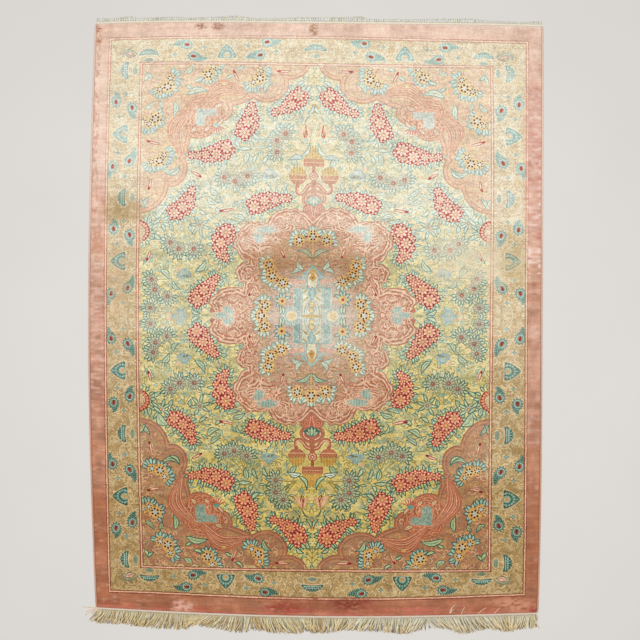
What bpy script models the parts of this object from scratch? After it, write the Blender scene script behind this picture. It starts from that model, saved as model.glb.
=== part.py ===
"""A hand-knotted Persian rug laid flat: its pile body, two overcast selvedges, and a woven end
with warp fringe at each end.

Metres, +Z up. The origin is on the floor under the middle of the rug, +X runs across the rug and
+Y along it, towards the end with the short fringe.
"""

import math

import bmesh
import bpy
import numpy as np

# Pile body
THICKNESS = 0.005  # foundation and pile together
RIM_BEVEL = 0.0012  # the pile rolls over at its rim
RIPPLE = 0.0005  # height of the soft waves that a laid rug keeps
# Each wave: radians along the rug, radians across it, share of the height.
RIPPLE_WAVES = ((5.0, 2.0, 1.0), (13.0, -3.0, 0.7))
BODY_CELLS_ACROSS = 18
BODY_CELLS_ALONG = 22

# The four edges bow a little, as a hand-woven rug's do. Each row: share along the edge, distance
# of the edge from the origin.
LEFT_EDGE = ((0.0, 0.655), (0.25, 0.671), (0.5, 0.677), (0.75, 0.671), (1.0, 0.657))
RIGHT_EDGE = ((0.0, 0.6615), (0.25, 0.671), (0.5, 0.674), (0.75, 0.676), (1.0, 0.677))
NEAR_EDGE = ((0.0, 0.844), (0.25, 0.861), (0.5, 0.870), (0.75, 0.8685), (1.0, 0.860))
FAR_EDGE = ((0.0, 0.9035), (0.25, 0.9085), (0.5, 0.9055), (0.75, 0.902), (1.0, 0.8955))

GAP = 0.0003  # between pieces that touch

# Selvedges: yarn overcast round the outer warps
SELVEDGE_WIDTH = 0.005
SELVEDGE_HEIGHT = 0.0048
SELVEDGE_SIDES = 8
SELVEDGE_STEPS = 44

# Woven ends, the narrow flat-woven strips that hold the fringe
END_THICKNESS = 0.002
NEAR_END_WIDTH = 0.008
FAR_END_WIDTH = 0.0095

# Fringe strands
NEAR_STRANDS = 156
FAR_STRANDS = 110
STRAND_SHARE = 0.62  # of the pitch; the rest is the gap between two strands
TIP_WIDTH = 0.0018
TIP_HEIGHT = 0.0012
TIP_SPACING = 0.0034  # least distance between neighbouring tips
NEAR_STRAND_STEPS = 3
FAR_STRAND_STEPS = 1
ROOT_RUN = 0.4  # share of a strand's length in which it still runs straight out

# How the long fringe lies. Each row: place across the rug, sideways reach of the tip, reach out.
NEAR_LAY = (
    (-0.655, -0.012, 0.030),
    (-0.633, -0.012, 0.040),
    (-0.560, -0.022, 0.038),
    (-0.483, -0.022, 0.042),
    (-0.432, -0.016, 0.046),
    (-0.396, -0.008, 0.045),
    (-0.360, -0.026, 0.035),
    (-0.312, -0.034, 0.028),
    (-0.270, -0.034, 0.038),
    (-0.237, -0.018, 0.046),
    (-0.210, 0.000, 0.048),
    (-0.185, 0.016, 0.037),
    (-0.138, 0.018, 0.047),
    (-0.084, 0.016, 0.047),
    (-0.035, 0.024, 0.037),
    (0.006, 0.002, 0.045),
    (0.042, -0.008, 0.044),
    (0.087, -0.020, 0.034),
    (0.207, -0.014, 0.040),
    (0.258, -0.006, 0.047),
    (0.306, -0.020, 0.046),
    (0.333, -0.014, 0.036),
    (0.345, 0.026, 0.030),
    (0.417, 0.028, 0.050),
    (0.450, 0.030, 0.044),
    (0.486, 0.034, 0.036),
    (0.530, 0.020, 0.044),
    (0.567, 0.008, 0.047),
    (0.660, -0.006, 0.038),
)
# The short fringe, worn down to teeth.
FAR_LAY = (
    (-0.657, 0.001, 0.008),
    (-0.612, 0.000, 0.005),
    (-0.558, 0.002, 0.011),
    (-0.528, -0.001, 0.004),
    (-0.432, 0.001, 0.007),
    (-0.384, 0.000, 0.004),
    (-0.300, 0.001, 0.007),
    (-0.243, 0.002, 0.011),
    (-0.174, -0.001, 0.003),
    (-0.108, 0.000, 0.004),
    (-0.048, 0.001, 0.008),
    (0.072, 0.001, 0.009),
    (0.132, 0.002, 0.013),
    (0.156, -0.001, 0.006),
    (0.192, 0.000, 0.004),
    (0.312, 0.001, 0.006),
    (0.462, 0.001, 0.010),
    (0.500, 0.000, 0.005),
    (0.612, -0.001, 0.002),
    (0.677, 0.000, 0.007),
)
LENGTH_VARIATION = 0.12  # share by which one strand is longer or shorter than the next
VARIATION_STEP = 2.4  # radians from one strand to the next in that variation

ROSE = (0.50, 0.22, 0.17, 1.0)
PALE_ROSE = (0.62, 0.36, 0.29, 1.0)
IVORY = (0.66, 0.56, 0.38, 1.0)


def clear_scene():
    """Empties the scene of whatever it held."""
    for thing in list(bpy.data.objects):
        bpy.data.objects.remove(thing)


def material(name, colour, roughness):
    """A plain textile finish."""
    made = bpy.data.materials.new(name)
    made.use_nodes = True
    surface = made.node_tree.nodes["Principled BSDF"]
    surface.inputs["Base Color"].default_value = colour
    surface.inputs["Roughness"].default_value = roughness
    surface.inputs["Metallic"].default_value = 0.0
    return made


def read_edge(edge, share):
    """The distance at a share of the way along an edge, on the one polynomial through its rows."""
    places, distances = np.array(edge).T
    return np.polyval(np.polyfit(places, distances, len(edge) - 1), share)


def rug_point(across, along):
    """The place on the floor of a point of the rug, from 0 to 1 across and along it.

    x is blended between the two side edges, y between the two ends.
    """
    across, along = np.asarray(across, float), np.asarray(along, float)
    x = across * read_edge(RIGHT_EDGE, along) - (1 - across) * read_edge(LEFT_EDGE, along)
    y = along * read_edge(FAR_EDGE, across) - (1 - along) * read_edge(NEAR_EDGE, across)
    return x, y


def ripple(across, along):
    """Height of the soft waves: slanting sines added up, faded out at the rim."""
    fade = np.sin(math.pi * across) * np.sin(math.pi * along)
    waves = sum(share * np.sin(a * along + b * across) for a, b, share in RIPPLE_WAVES)
    return RIPPLE * fade * waves


def body_mesh():
    """The rug's body: a grid of points on its flat underside, the same grid raised, and a rim."""
    shape = bmesh.new()
    across, along = np.meshgrid(
        np.linspace(0, 1, BODY_CELLS_ACROSS + 1),
        np.linspace(0, 1, BODY_CELLS_ALONG + 1),
        indexing="ij",
    )
    x, y = rug_point(across, along)
    top_z = THICKNESS + ripple(across, along)

    def grid(z):
        return [
            [shape.verts.new((x[i, j], y[i, j], z[i, j])) for j in range(BODY_CELLS_ALONG + 1)]
            for i in range(BODY_CELLS_ACROSS + 1)
        ]

    under, top = grid(np.zeros_like(x)), grid(top_z)
    for i in range(BODY_CELLS_ACROSS):
        for j in range(BODY_CELLS_ALONG):
            shape.faces.new((top[i][j], top[i + 1][j], top[i + 1][j + 1], top[i][j + 1]))
            shape.faces.new((under[i][j], under[i][j + 1], under[i + 1][j + 1], under[i + 1][j]))
    rim = [(i, 0) for i in range(BODY_CELLS_ACROSS)]
    rim += [(BODY_CELLS_ACROSS, j) for j in range(BODY_CELLS_ALONG)]
    rim += [(i, BODY_CELLS_ALONG) for i in range(BODY_CELLS_ACROSS, 0, -1)]
    rim += [(0, j) for j in range(BODY_CELLS_ALONG, 0, -1)]
    rolled = []
    for (i, j), (k, m) in zip(rim, rim[1:] + rim[:1]):
        shape.faces.new((under[i][j], under[k][m], top[k][m], top[i][j]))
        rolled.append(shape.edges.get((top[i][j], top[k][m])))
    bmesh.ops.bevel(shape, geom=rolled, offset=RIM_BEVEL, segments=1, affect="EDGES")
    return shape


def selvedge_mesh(side):
    """One overcast edge: an oval section with a flat foot, carried along the rug's bowed side.

    side is -1 for the left edge and 1 for the right one.
    """
    shape = bmesh.new()
    turn = (np.arange(SELVEDGE_SIDES) + 0.5) * 2 * math.pi / SELVEDGE_SIDES
    reach = 1 / math.cos(math.pi / SELVEDGE_SIDES)
    out = SELVEDGE_WIDTH / 2 * (1 + reach * np.cos(turn))
    up = SELVEDGE_HEIGHT / 2 * (1 + reach * np.sin(turn))
    along = np.linspace(0, 1, SELVEDGE_STEPS + 1)
    x, y = rug_point((1 + side) / 2, along)
    rings = [
        [shape.verts.new((x[k] + side * (GAP + o), y[k], max(u, 0.0))) for o, u in zip(out, up)]
        for k in range(SELVEDGE_STEPS + 1)
    ]
    for ring, after in zip(rings, rings[1:]):
        for a in range(SELVEDGE_SIDES):
            b = (a + 1) % SELVEDGE_SIDES
            shape.faces.new((ring[a], ring[b], after[b], after[a]))
    shape.faces.new(rings[0])
    shape.faces.new(rings[-1])
    bmesh.ops.recalc_face_normals(shape, faces=shape.faces)
    return shape


def spread_tips(tips):
    """Pushes tips apart where they would cross, so that each stays TIP_SPACING past the last."""
    steps = np.arange(len(tips)) * TIP_SPACING
    return np.maximum.accumulate(tips - steps) + steps


def fringed_end_mesh(end, strands, steps, end_width, lay):
    """A woven end strip whose outer edge carries one strand on every other stretch.

    end is -1 for the near end and 1 for the far one. Each strand is a tapering four-sided prism
    lying on the floor: its line leaves the strip straight and bends over to its tip, a quadratic
    curve through the root, a point straight out and the tip.
    """
    shape = bmesh.new()
    pitch = 1 / strands
    marks = np.sort(
        np.concatenate(
            [
                [0.0, 1.0],
                (np.arange(strands) + 0.5 - STRAND_SHARE / 2) * pitch,
                (np.arange(strands) + 0.5 + STRAND_SHARE / 2) * pitch,
            ]
        )
    )
    x, y = rug_point(marks, (1 + end) / 2)
    inner, outer = y + end * GAP, y + end * (GAP + end_width)
    ring = [
        [
            shape.verts.new((x[k], inner[k], 0.0)),
            shape.verts.new((x[k], outer[k], 0.0)),
            shape.verts.new((x[k], outer[k], END_THICKNESS)),
            shape.verts.new((x[k], inner[k], END_THICKNESS)),
        ]
        for k in range(len(marks))
    ]
    for k in range(len(marks) - 1):
        here, after = ring[k], ring[k + 1]
        shape.faces.new((here[0], after[0], after[1], here[1]))
        shape.faces.new((here[3], after[3], after[2], here[2]))
        shape.faces.new((here[0], after[0], after[3], here[3]))
        if k % 2 == 0:
            shape.faces.new((here[1], after[1], after[2], here[2]))
    shape.faces.new(ring[0])
    shape.faces.new(ring[-1])

    place, sideways, reach = np.array(lay).T
    left, right = x[1:-1:2], x[2:-1:2]
    root = (left + right) / 2
    root_y = (outer[1:-1:2] + outer[2:-1:2]) / 2
    vary = 1 + LENGTH_VARIATION * np.sin(np.arange(strands) * VARIATION_STEP)
    tip_x = spread_tips(root + np.interp(root, place, sideways))
    tip_y = root_y + end * np.interp(root, place, reach) * vary
    for s in range(strands):
        here, after = ring[2 * s + 1], ring[2 * s + 2]
        before = [here[1], after[1], after[2], here[2]]
        for step in range(1, steps + 1):
            t = step / steps
            line_x = root[s] + (tip_x[s] - root[s]) * t * t
            run = 2 * t * (1 - t) * ROOT_RUN + t * t
            line_y = root_y[s] + (tip_y[s] - root_y[s]) * run
            half = ((right[s] - left[s]) * (1 - t) + TIP_WIDTH * t) / 2
            high = END_THICKNESS * (1 - t) + TIP_HEIGHT * t
            corners = [
                shape.verts.new((line_x - half, line_y, 0.0)),
                shape.verts.new((line_x + half, line_y, 0.0)),
                shape.verts.new((line_x + half, line_y, high)),
                shape.verts.new((line_x - half, line_y, high)),
            ]
            for a in range(4):
                b = (a + 1) % 4
                shape.faces.new((before[a], before[b], corners[b], corners[a]))
            before = corners
        shape.faces.new(before)
    bmesh.ops.recalc_face_normals(shape, faces=shape.faces)
    return shape


def add(name, shape, finish):
    """Puts a finished shape into the scene as one named object."""
    mesh = bpy.data.meshes.new(name)
    shape.to_mesh(mesh)
    shape.free()
    mesh.materials.append(finish)
    made = bpy.data.objects.new(name, mesh)
    bpy.context.scene.collection.objects.link(made)
    return made


def main():
    clear_scene()
    pile_silk = material("pile_silk", ROSE, 0.55)
    binding_silk = material("binding_silk", PALE_ROSE, 0.6)
    warp_thread = material("warp_thread", IVORY, 0.85)
    add("rug_body", body_mesh(), pile_silk)
    add("selvedge_left", selvedge_mesh(-1), binding_silk)
    add("selvedge_right", selvedge_mesh(1), binding_silk)
    near = fringed_end_mesh(-1, NEAR_STRANDS, NEAR_STRAND_STEPS, NEAR_END_WIDTH, NEAR_LAY)
    add("fringe_near", near, warp_thread)
    far = fringed_end_mesh(1, FAR_STRANDS, FAR_STRAND_STEPS, FAR_END_WIDTH, FAR_LAY)
    add("fringe_far", far, warp_thread)


main()
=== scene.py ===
"""Looks of the persian rug: silk pile shown knot by knot, overcast sides, woven ends and loose fringes."""
import math

import bpy
import numpy as np
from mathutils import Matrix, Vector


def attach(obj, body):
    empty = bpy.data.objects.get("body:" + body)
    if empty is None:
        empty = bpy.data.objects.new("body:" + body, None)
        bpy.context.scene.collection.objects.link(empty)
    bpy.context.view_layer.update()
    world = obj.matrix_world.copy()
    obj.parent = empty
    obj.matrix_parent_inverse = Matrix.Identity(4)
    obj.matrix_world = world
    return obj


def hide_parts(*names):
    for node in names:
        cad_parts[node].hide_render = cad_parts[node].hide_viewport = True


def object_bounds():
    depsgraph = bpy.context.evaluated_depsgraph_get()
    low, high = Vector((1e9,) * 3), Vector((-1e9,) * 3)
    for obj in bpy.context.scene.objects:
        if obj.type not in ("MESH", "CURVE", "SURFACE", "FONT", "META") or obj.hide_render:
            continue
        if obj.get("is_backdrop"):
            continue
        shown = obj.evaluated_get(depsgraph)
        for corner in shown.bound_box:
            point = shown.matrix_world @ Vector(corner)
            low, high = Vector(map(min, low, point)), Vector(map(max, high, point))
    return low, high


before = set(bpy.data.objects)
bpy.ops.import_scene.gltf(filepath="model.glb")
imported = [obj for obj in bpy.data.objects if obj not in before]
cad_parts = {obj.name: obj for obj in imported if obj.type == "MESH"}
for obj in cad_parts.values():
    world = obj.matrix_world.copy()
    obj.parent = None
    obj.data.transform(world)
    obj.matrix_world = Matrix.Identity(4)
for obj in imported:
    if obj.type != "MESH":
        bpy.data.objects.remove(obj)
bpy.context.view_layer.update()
TURN = 2 * math.pi
QUARTER = math.pi / 2

# ---------------------------------------------------------------- sizes, in metres, the same as the solids'
THICKNESS = 0.005            # floor to the top of the pile
RIM_BEVEL = 0.0012           # the worn edge all round the pile
RIPPLE = 0.0005              # how far the cloth rises and falls as it lies
RIPPLE_WAVES = ((5, 2, 1), (13, -3, 0.7))   # waves along, waves across, share
GAP = 0.0003                 # between the pile and what is sewn to it
SELVEDGE_WIDTH = 0.005
SELVEDGE_HEIGHT = 0.0048
END_THICKNESS = 0.002
NEAR_END_WIDTH = 0.008
FAR_END_WIDTH = 0.0095

# rows: share along the edge, how far that edge lies from the middle of the rug
LEFT_EDGE = ((0, 0.655), (0.25, 0.671), (0.5, 0.677), (0.75, 0.671), (1, 0.657))
RIGHT_EDGE = ((0, 0.6615), (0.25, 0.671), (0.5, 0.674), (0.75, 0.676), (1, 0.677))
NEAR_EDGE = ((0, 0.844), (0.25, 0.861), (0.5, 0.87), (0.75, 0.8685), (1, 0.86))
FAR_EDGE = ((0, 0.9035), (0.25, 0.9085), (0.5, 0.9055), (0.75, 0.902), (1, 0.8955))

# rows: place across the rug, how far the threads lean sideways, how far they reach out
NEAR_LAY = (
    (-0.655, -0.012, 0.03), (-0.633, -0.012, 0.04), (-0.56, -0.022, 0.038), (-0.483, -0.022, 0.042),
    (-0.432, -0.016, 0.046), (-0.396, -0.008, 0.045), (-0.36, -0.026, 0.035), (-0.312, -0.034, 0.028),
    (-0.27, -0.034, 0.038), (-0.237, -0.018, 0.046), (-0.21, 0, 0.048), (-0.185, 0.016, 0.037),
    (-0.138, 0.018, 0.047), (-0.084, 0.016, 0.047), (-0.035, 0.024, 0.037), (0.006, 0.002, 0.045),
    (0.042, -0.008, 0.044), (0.087, -0.02, 0.034), (0.207, -0.014, 0.04), (0.258, -0.006, 0.047),
    (0.306, -0.02, 0.046), (0.333, -0.014, 0.036), (0.345, 0.026, 0.03), (0.417, 0.028, 0.05),
    (0.45, 0.03, 0.044), (0.486, 0.034, 0.036), (0.53, 0.02, 0.044), (0.567, 0.008, 0.047),
    (0.66, -0.006, 0.038),
)
FAR_LAY = (
    (-0.657, 0.001, 0.008), (-0.612, 0, 0.005), (-0.558, 0.002, 0.011), (-0.528, -0.001, 0.004),
    (-0.432, 0.001, 0.007), (-0.384, 0, 0.004), (-0.3, 0.001, 0.007), (-0.243, 0.002, 0.011),
    (-0.174, -0.001, 0.003), (-0.108, 0, 0.004), (-0.048, 0.001, 0.008), (0.072, 0.001, 0.009),
    (0.132, 0.002, 0.013), (0.156, -0.001, 0.006), (0.192, 0, 0.004), (0.312, 0.001, 0.006),
    (0.462, 0.001, 0.01), (0.5, 0, 0.005), (0.612, -0.001, 0.002), (0.677, 0, 0.007),
)

# ---------------------------------------------------------------- the weaver's drawing of one quarter
# it is ruled in squares of 3 mm, counted from the rug's long axis and from its middle line
FINE = 3                     # samples of colour along one square
DRAWING_WIDE = 224           # squares from the rug's long axis to its side
DRAWING_LONG = 298           # squares from the rug's middle line to its end
INNER_GUARD_U = 173          # squares out to the fine line between field and border
OUTER_GUARD_U = 204.7        # squares out to the fine line between border and plain band
INNER_GUARD_V = 252.3
OUTER_GUARD_V = 279.7
SIDE_U = 221.4
END_V = 295.4

# where the drawing's lines lie on the rug: share along or across, five stations each, metres from the middle
STATIONS = (0, 0.25, 0.5, 0.75, 1)
LEFT_OUTER_LINE = (-0.618, -0.628, -0.632, -0.628, -0.615)
LEFT_INNER_LINE = (-0.519, -0.53, -0.536, -0.531, -0.522)
LONG_AXIS = (-0.0115, -0.0115, -0.0115, -0.007, 0)
RIGHT_INNER_LINE = (0.519, 0.523, 0.527, 0.53, 0.523)
RIGHT_OUTER_LINE = (0.623, 0.63, 0.632, 0.635, 0.634)
NEAR_OUTER_LINE = (-0.7965, -0.8085, -0.82, -0.8175, -0.8055)
NEAR_INNER_LINE = (-0.717, -0.729, -0.735, -0.7365, -0.732)
MIDDLE_LINE = (0.0285, 0.0285, 0.0285, 0.0285, 0.0285)
FAR_INNER_LINE = (0.7815, 0.7875, 0.7825, 0.777, 0.7735)
FAR_OUTER_LINE = (0.858, 0.865, 0.864, 0.856, 0.849)

# silk colours, red green blue out of 255, each in a pale and a deep copy for the painted sheen: looked at
# along the pile (far end) and against it (near end)
SILKS = {
    "band": ((243, 209, 192), (173, 112, 81)),
    "guard": ((252, 226, 206), (218, 168, 136)),
    "guard edge": ((218, 160, 140), (136, 72, 48)),
    "gold": ((232, 215, 181), (171, 142, 91)),
    "gold shade": ((230, 212, 176), (162, 132, 84)),
    "gold light": ((245, 233, 207), (194, 166, 118)),
    "tan": ((226, 207, 172), (154, 122, 80)),
    "cream": ((247, 237, 213), (194, 170, 126)),
    "yellow": ((244, 233, 199), (202, 178, 98)),
    "straw": ((249, 243, 217), (208, 190, 122)),
    "olive": ((220, 211, 168), (146, 130, 66)),
    "teal": ((158, 194, 188), (62, 92, 78)),
    "teal mid": ((190, 216, 208), (104, 138, 118)),
    "light leaf": ((234, 240, 221), (162, 176, 130)),
    "light blue": ((212, 228, 222), (148, 170, 150)),
    "petal": ((222, 232, 226), (190, 194, 168)),
    "petal line": ((174, 198, 186), (114, 131, 106)),
    "heart": ((230, 228, 208), (204, 194, 160)),
    "cheek": ((228, 194, 180), (206, 162, 138)),
    "cartouche": ((190, 208, 206), (134, 158, 148)),
    "corner blue": ((222, 228, 220), (141, 154, 134)),
    "red": ((192, 82, 76), (136, 34, 20)),
    "petal tip": ((251, 230, 214), (214, 152, 118)),
    "salmon": ((247, 206, 191), (208, 122, 90)),
    "floret": ((246, 226, 190), (206, 156, 94)),
    "rose": ((240, 210, 184), (161, 117, 85)),
    "ribbon": ((233, 184, 156), (173, 105, 73)),
    "rib": ((246, 210, 184), (200, 138, 100)),
    "rust": ((214, 157, 136), (160, 88, 58)),
    "rose pale": ((249, 224, 204), (208, 162, 128)),
    "medallion": ((219, 184, 158), (174, 132, 103)),
    "sun": ((236, 212, 158), (192, 152, 86)),
    "bead": ((136, 80, 70), (80, 36, 24)),
    "seed": ((180, 90, 72), (120, 50, 34)),
    "pearl": ((224, 226, 218), (176, 178, 164)),
    "stone": ((214, 213, 196), (160, 158, 126)),
    "stone line": ((180, 184, 168), (104, 106, 82)),
    "vase": ((220, 188, 126), (182, 132, 56)),
    "brown": ((208, 168, 134), (134, 96, 64)),
    "cloud": ((226, 210, 204), (190, 164, 150)),
}
SILK = {name: np.array(pale + deep, np.float32) / 255 for name, (pale, deep) in SILKS.items()}

SAMPLES = (DRAWING_LONG * FINE, DRAWING_WIDE * FINE)
WHOLE = (slice(0, SAMPLES[0]), slice(0, SAMPLES[1]))
V_ALL = ((np.arange(SAMPLES[0], dtype=np.float32) + 0.5) / FINE)[:, None]
U_ALL = ((np.arange(SAMPLES[1], dtype=np.float32) + 0.5) / FINE)[None, :]
drawing = np.zeros(SAMPLES + (6,), np.float32)
hand = np.random.default_rng(47)


def patch(low_u, high_u, low_v, high_v):
    """The samples between two lines across and two down, and how far across and down each of them lies."""
    left = max(int(low_u * FINE) - 1, 0)
    right = max(min(int(high_u * FINE) + 2, SAMPLES[1]), 0)
    top = max(int(low_v * FINE) - 1, 0)
    foot = max(min(int(high_v * FINE) + 2, SAMPLES[0]), 0)
    return (slice(top, foot), slice(left, right)), U_ALL[:, left:right], V_ALL[top:foot]


def around(u, v, turn, reach):
    """The samples round a place, and how far each lies ahead and aside of it along a bearing."""
    part, across, down = patch(u - reach, u + reach, v - reach, v + reach)
    du = across - u
    dv = down - v
    return part, du * math.cos(turn) + dv * math.sin(turn), dv * math.cos(turn) - du * math.sin(turn)


def beside(start, end, reach):
    """The samples round a straight run, and how far across and down from its start each lies."""
    part, across, down = patch(min(start[0], end[0]) - reach, max(start[0], end[0]) + reach,
                               min(start[1], end[1]) - reach, max(start[1], end[1]) + reach)
    return part, across - start[0], down - start[1]


def outward(u, v, bearing, reach):
    """The place so far from another along a bearing."""
    return u + math.cos(bearing) * reach, v + math.sin(bearing) * reach


def heading(bearing):
    """One step along a bearing."""
    return np.array(outward(0, 0, bearing, 1))


def within(distance, soft=0.45):
    """How much of a sample is covered: 1 inside, 0 outside, a straight ramp over the edge."""
    return np.clip(0.5 - distance / soft, 0, 1)


def stripes(value, pitch, sharp, cut=0):
    """Stripes so far apart: a cosine wave, raised so many times, lowered by a cut and kept from 0 to 1."""
    return np.clip(np.cos(value * TURN / pitch) * sharp - cut, 0, 1)


def dye(part, cover, silk):
    """Mixes a silk into part of the drawing by the share of each sample that it covers."""
    drawing[part] += np.clip(cover, 0, 1)[..., None] * (SILK[silk] - drawing[part])


def disc(u, v, wide, silk, long=None, turn=0):
    """An oval: points whose distance from the middle, each part divided by its radius, is under 1."""
    long = long or wide
    part, ahead, aside = around(u, v, turn, max(wide, long) + 1)
    dye(part, within((np.hypot(ahead / wide, aside / long) - 1) * min(wide, long)), silk)


def wreath(u, v, count, start, layers):
    """Ovals at even bearings round a place: rows of reach, radius outwards, radius sideways and silk."""
    for number in range(count):
        bearing = start + number * TURN / count
        for reach, wide, long, silk in layers:
            disc(*outward(u, v, bearing, reach), wide, silk, long, bearing)


def ring(u, v, radius, width, silk, start=-math.pi, end=math.pi):
    """A ring or arc: points whose distance from the circle is under half the width, between two bearings."""
    part, du, dv = around(u, v, 0, radius + width)
    swept = np.mod(np.arctan2(dv, du) - start, TURN) <= (end - start)
    dye(part, within(np.abs(np.hypot(du, dv) - radius) - width / 2) * swept, silk)


def leaf(foot, tip, width, silk, line=None, bend=0, line_width=0.9, full=0.8):
    """A leaf: its rib is a shallow sine arc from foot to tip and its half width a sine of the way along."""
    du = tip[0] - foot[0]
    dv = tip[1] - foot[1]
    length = max(math.hypot(du, dv), 0.01)
    part, across, down = beside(foot, tip, width + abs(bend) * length + 2)
    along = (across * du + down * dv) / length
    share = np.clip(along / length, 0, 1)
    beyond = np.maximum(np.maximum(-along, along - length), 0)
    from_rib = np.abs((down * du - across * dv) / length - bend * length * np.sin(math.pi * share))
    distance = from_rib - width / 2 * np.sin(math.pi * share ** full)
    outside = np.hypot(np.maximum(distance, 0), beyond)
    distance = np.where(outside > 0, outside, distance)
    if line is None:
        dye(part, within(distance), silk)
        return
    dye(part, within(distance - line_width / 2), line)
    dye(part, within(distance + line_width / 2), silk)
    if width > 3.9:
        dye(part, within(from_rib - 0.3) * within(np.abs(share - 0.5) - 0.3, 0.1) * 0.7, line)


def green_leaves(rows):
    """Light leaves with dark edges: rows of foot and tip (across, down), width and bend."""
    for foot_u, foot_v, tip_u, tip_v, width, bend in rows:
        leaf((foot_u, foot_v), (tip_u, tip_v), width, "light leaf", "teal", bend)


def curve(points, steps=6):
    """A smooth curve through a few points: each step mixes the four nearest by the usual cubic rule."""
    points = np.asarray(points, float)
    if len(points) < 3:
        return points
    padded = np.vstack([2 * points[0] - points[1], points, 2 * points[-1] - points[-2]])
    t = np.linspace(0, 1, steps, endpoint=False)[:, None]
    runs = []
    for a, b, c, d in zip(padded[:-3], padded[1:-2], padded[2:-1], padded[3:]):
        runs.append(0.5 * (2 * b + (c - a) * t + (2 * a - 5 * b + 4 * c - d) * t ** 2
                           + (3 * b - a - 3 * c + d) * t ** 3))
    return np.vstack(runs + [points[-1:]])


def stroke(points, width, silk, end_width=None, smooth=True):
    """A drawn line: for each short run, the points nearer to it than half its width."""
    line = curve(points) if smooth else np.asarray(points, float)
    widths = np.linspace(width, end_width or width, len(line) - 1)
    for a, b, wide in zip(line[:-1], line[1:], widths):
        run = b - a
        part, du, dv = beside(a, b, wide / 2 + 1)
        share = np.clip((du * run[0] + dv * run[1]) / max(float(run @ run), 1e-6), 0, 1)
        dye(part, within(np.hypot(du - share * run[0], dv - share * run[1]) - wide / 2), silk)


def lobes_distance(lobes):
    """Distance to a lobed outline, under 0 inside: the least of the distances to its ovals."""
    distance = np.full(SAMPLES, 1e3, np.float32)
    for lobe_u, lobe_v, wide, long in lobes:
        share = np.hypot((U_ALL - lobe_u) / wide, (V_ALL - lobe_v) / long)
        distance = np.minimum(distance, (share - 1) * min(wide, long))
    return distance


def eased(count, cell):
    """Which cell of a coarse line each of so many places lies in, and its eased share of the way."""
    place = np.arange(count, dtype=np.float32) / cell
    number = place.astype(int)
    share = place - number
    return number, share * share * (3 - 2 * share)


def noise(size, cell_rows, cell_columns, seed):
    """Soft seeded unevenness from 0 to 1: random values on a coarse grid, eased between neighbours."""
    chance = np.random.default_rng(seed)
    coarse = chance.random((int(size[0] / cell_rows) + 3, int(size[1] / cell_columns) + 3)).astype(np.float32)
    row, down = eased(size[0], cell_rows)
    column, across = eased(size[1], cell_columns)
    down = down[:, None]
    top = coarse[row][:, column] * (1 - across) + coarse[row][:, column + 1] * across
    foot = coarse[row + 1][:, column] * (1 - across) + coarse[row + 1][:, column + 1] * across
    return top * (1 - down) + foot * down


def wash(silk, rows_high, columns_wide, seed, level, gain, most, cover=1):
    """Soft patches of a silk: unevenness above a level, times a gain, up to a most, where cover is 1."""
    patches = noise(SAMPLES, rows_high, columns_wide, seed)
    dye(WHOLE, cover * np.clip((patches - level) * gain, 0, most), silk)
    return patches


# ---------------------------------------------------------------- motifs, each built from a few sizes
def floret(u, v, size, turn):
    """A small flower: six petals with fine red rims about a paler eye, each lighter towards its tip."""
    wreath(u, v, 6, turn, ((size * 0.62, size * 0.38 + 0.4, size * 0.28 + 0.45, "red"),
                           (size * 0.62, size * 0.38, size * 0.28, "salmon"),
                           (size * 0.78, size * 0.2, size * 0.2, "petal tip")))
    disc(u, v, size * 0.27, "floret")


def blossom(u, v, size, turn):
    """A larger open flower on a red disc: eight pale petals apart from each other, round a golden eye."""
    disc(u, v, size + 0.3, "red")
    for petal in range(8):
        bearing = turn + petal * math.pi / 4
        wreath(u, v, 1, bearing, ((size * 0.64, size * 0.35, size * 0.225, "salmon"),
                                  (size * 0.76, size * 0.17, size * 0.15, "petal tip")))
        stroke(((u, v), outward(u, v, bearing, size * 0.5)), size * 0.09, "floret")
    disc(u, v, size * 0.22, "floret")


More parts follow.
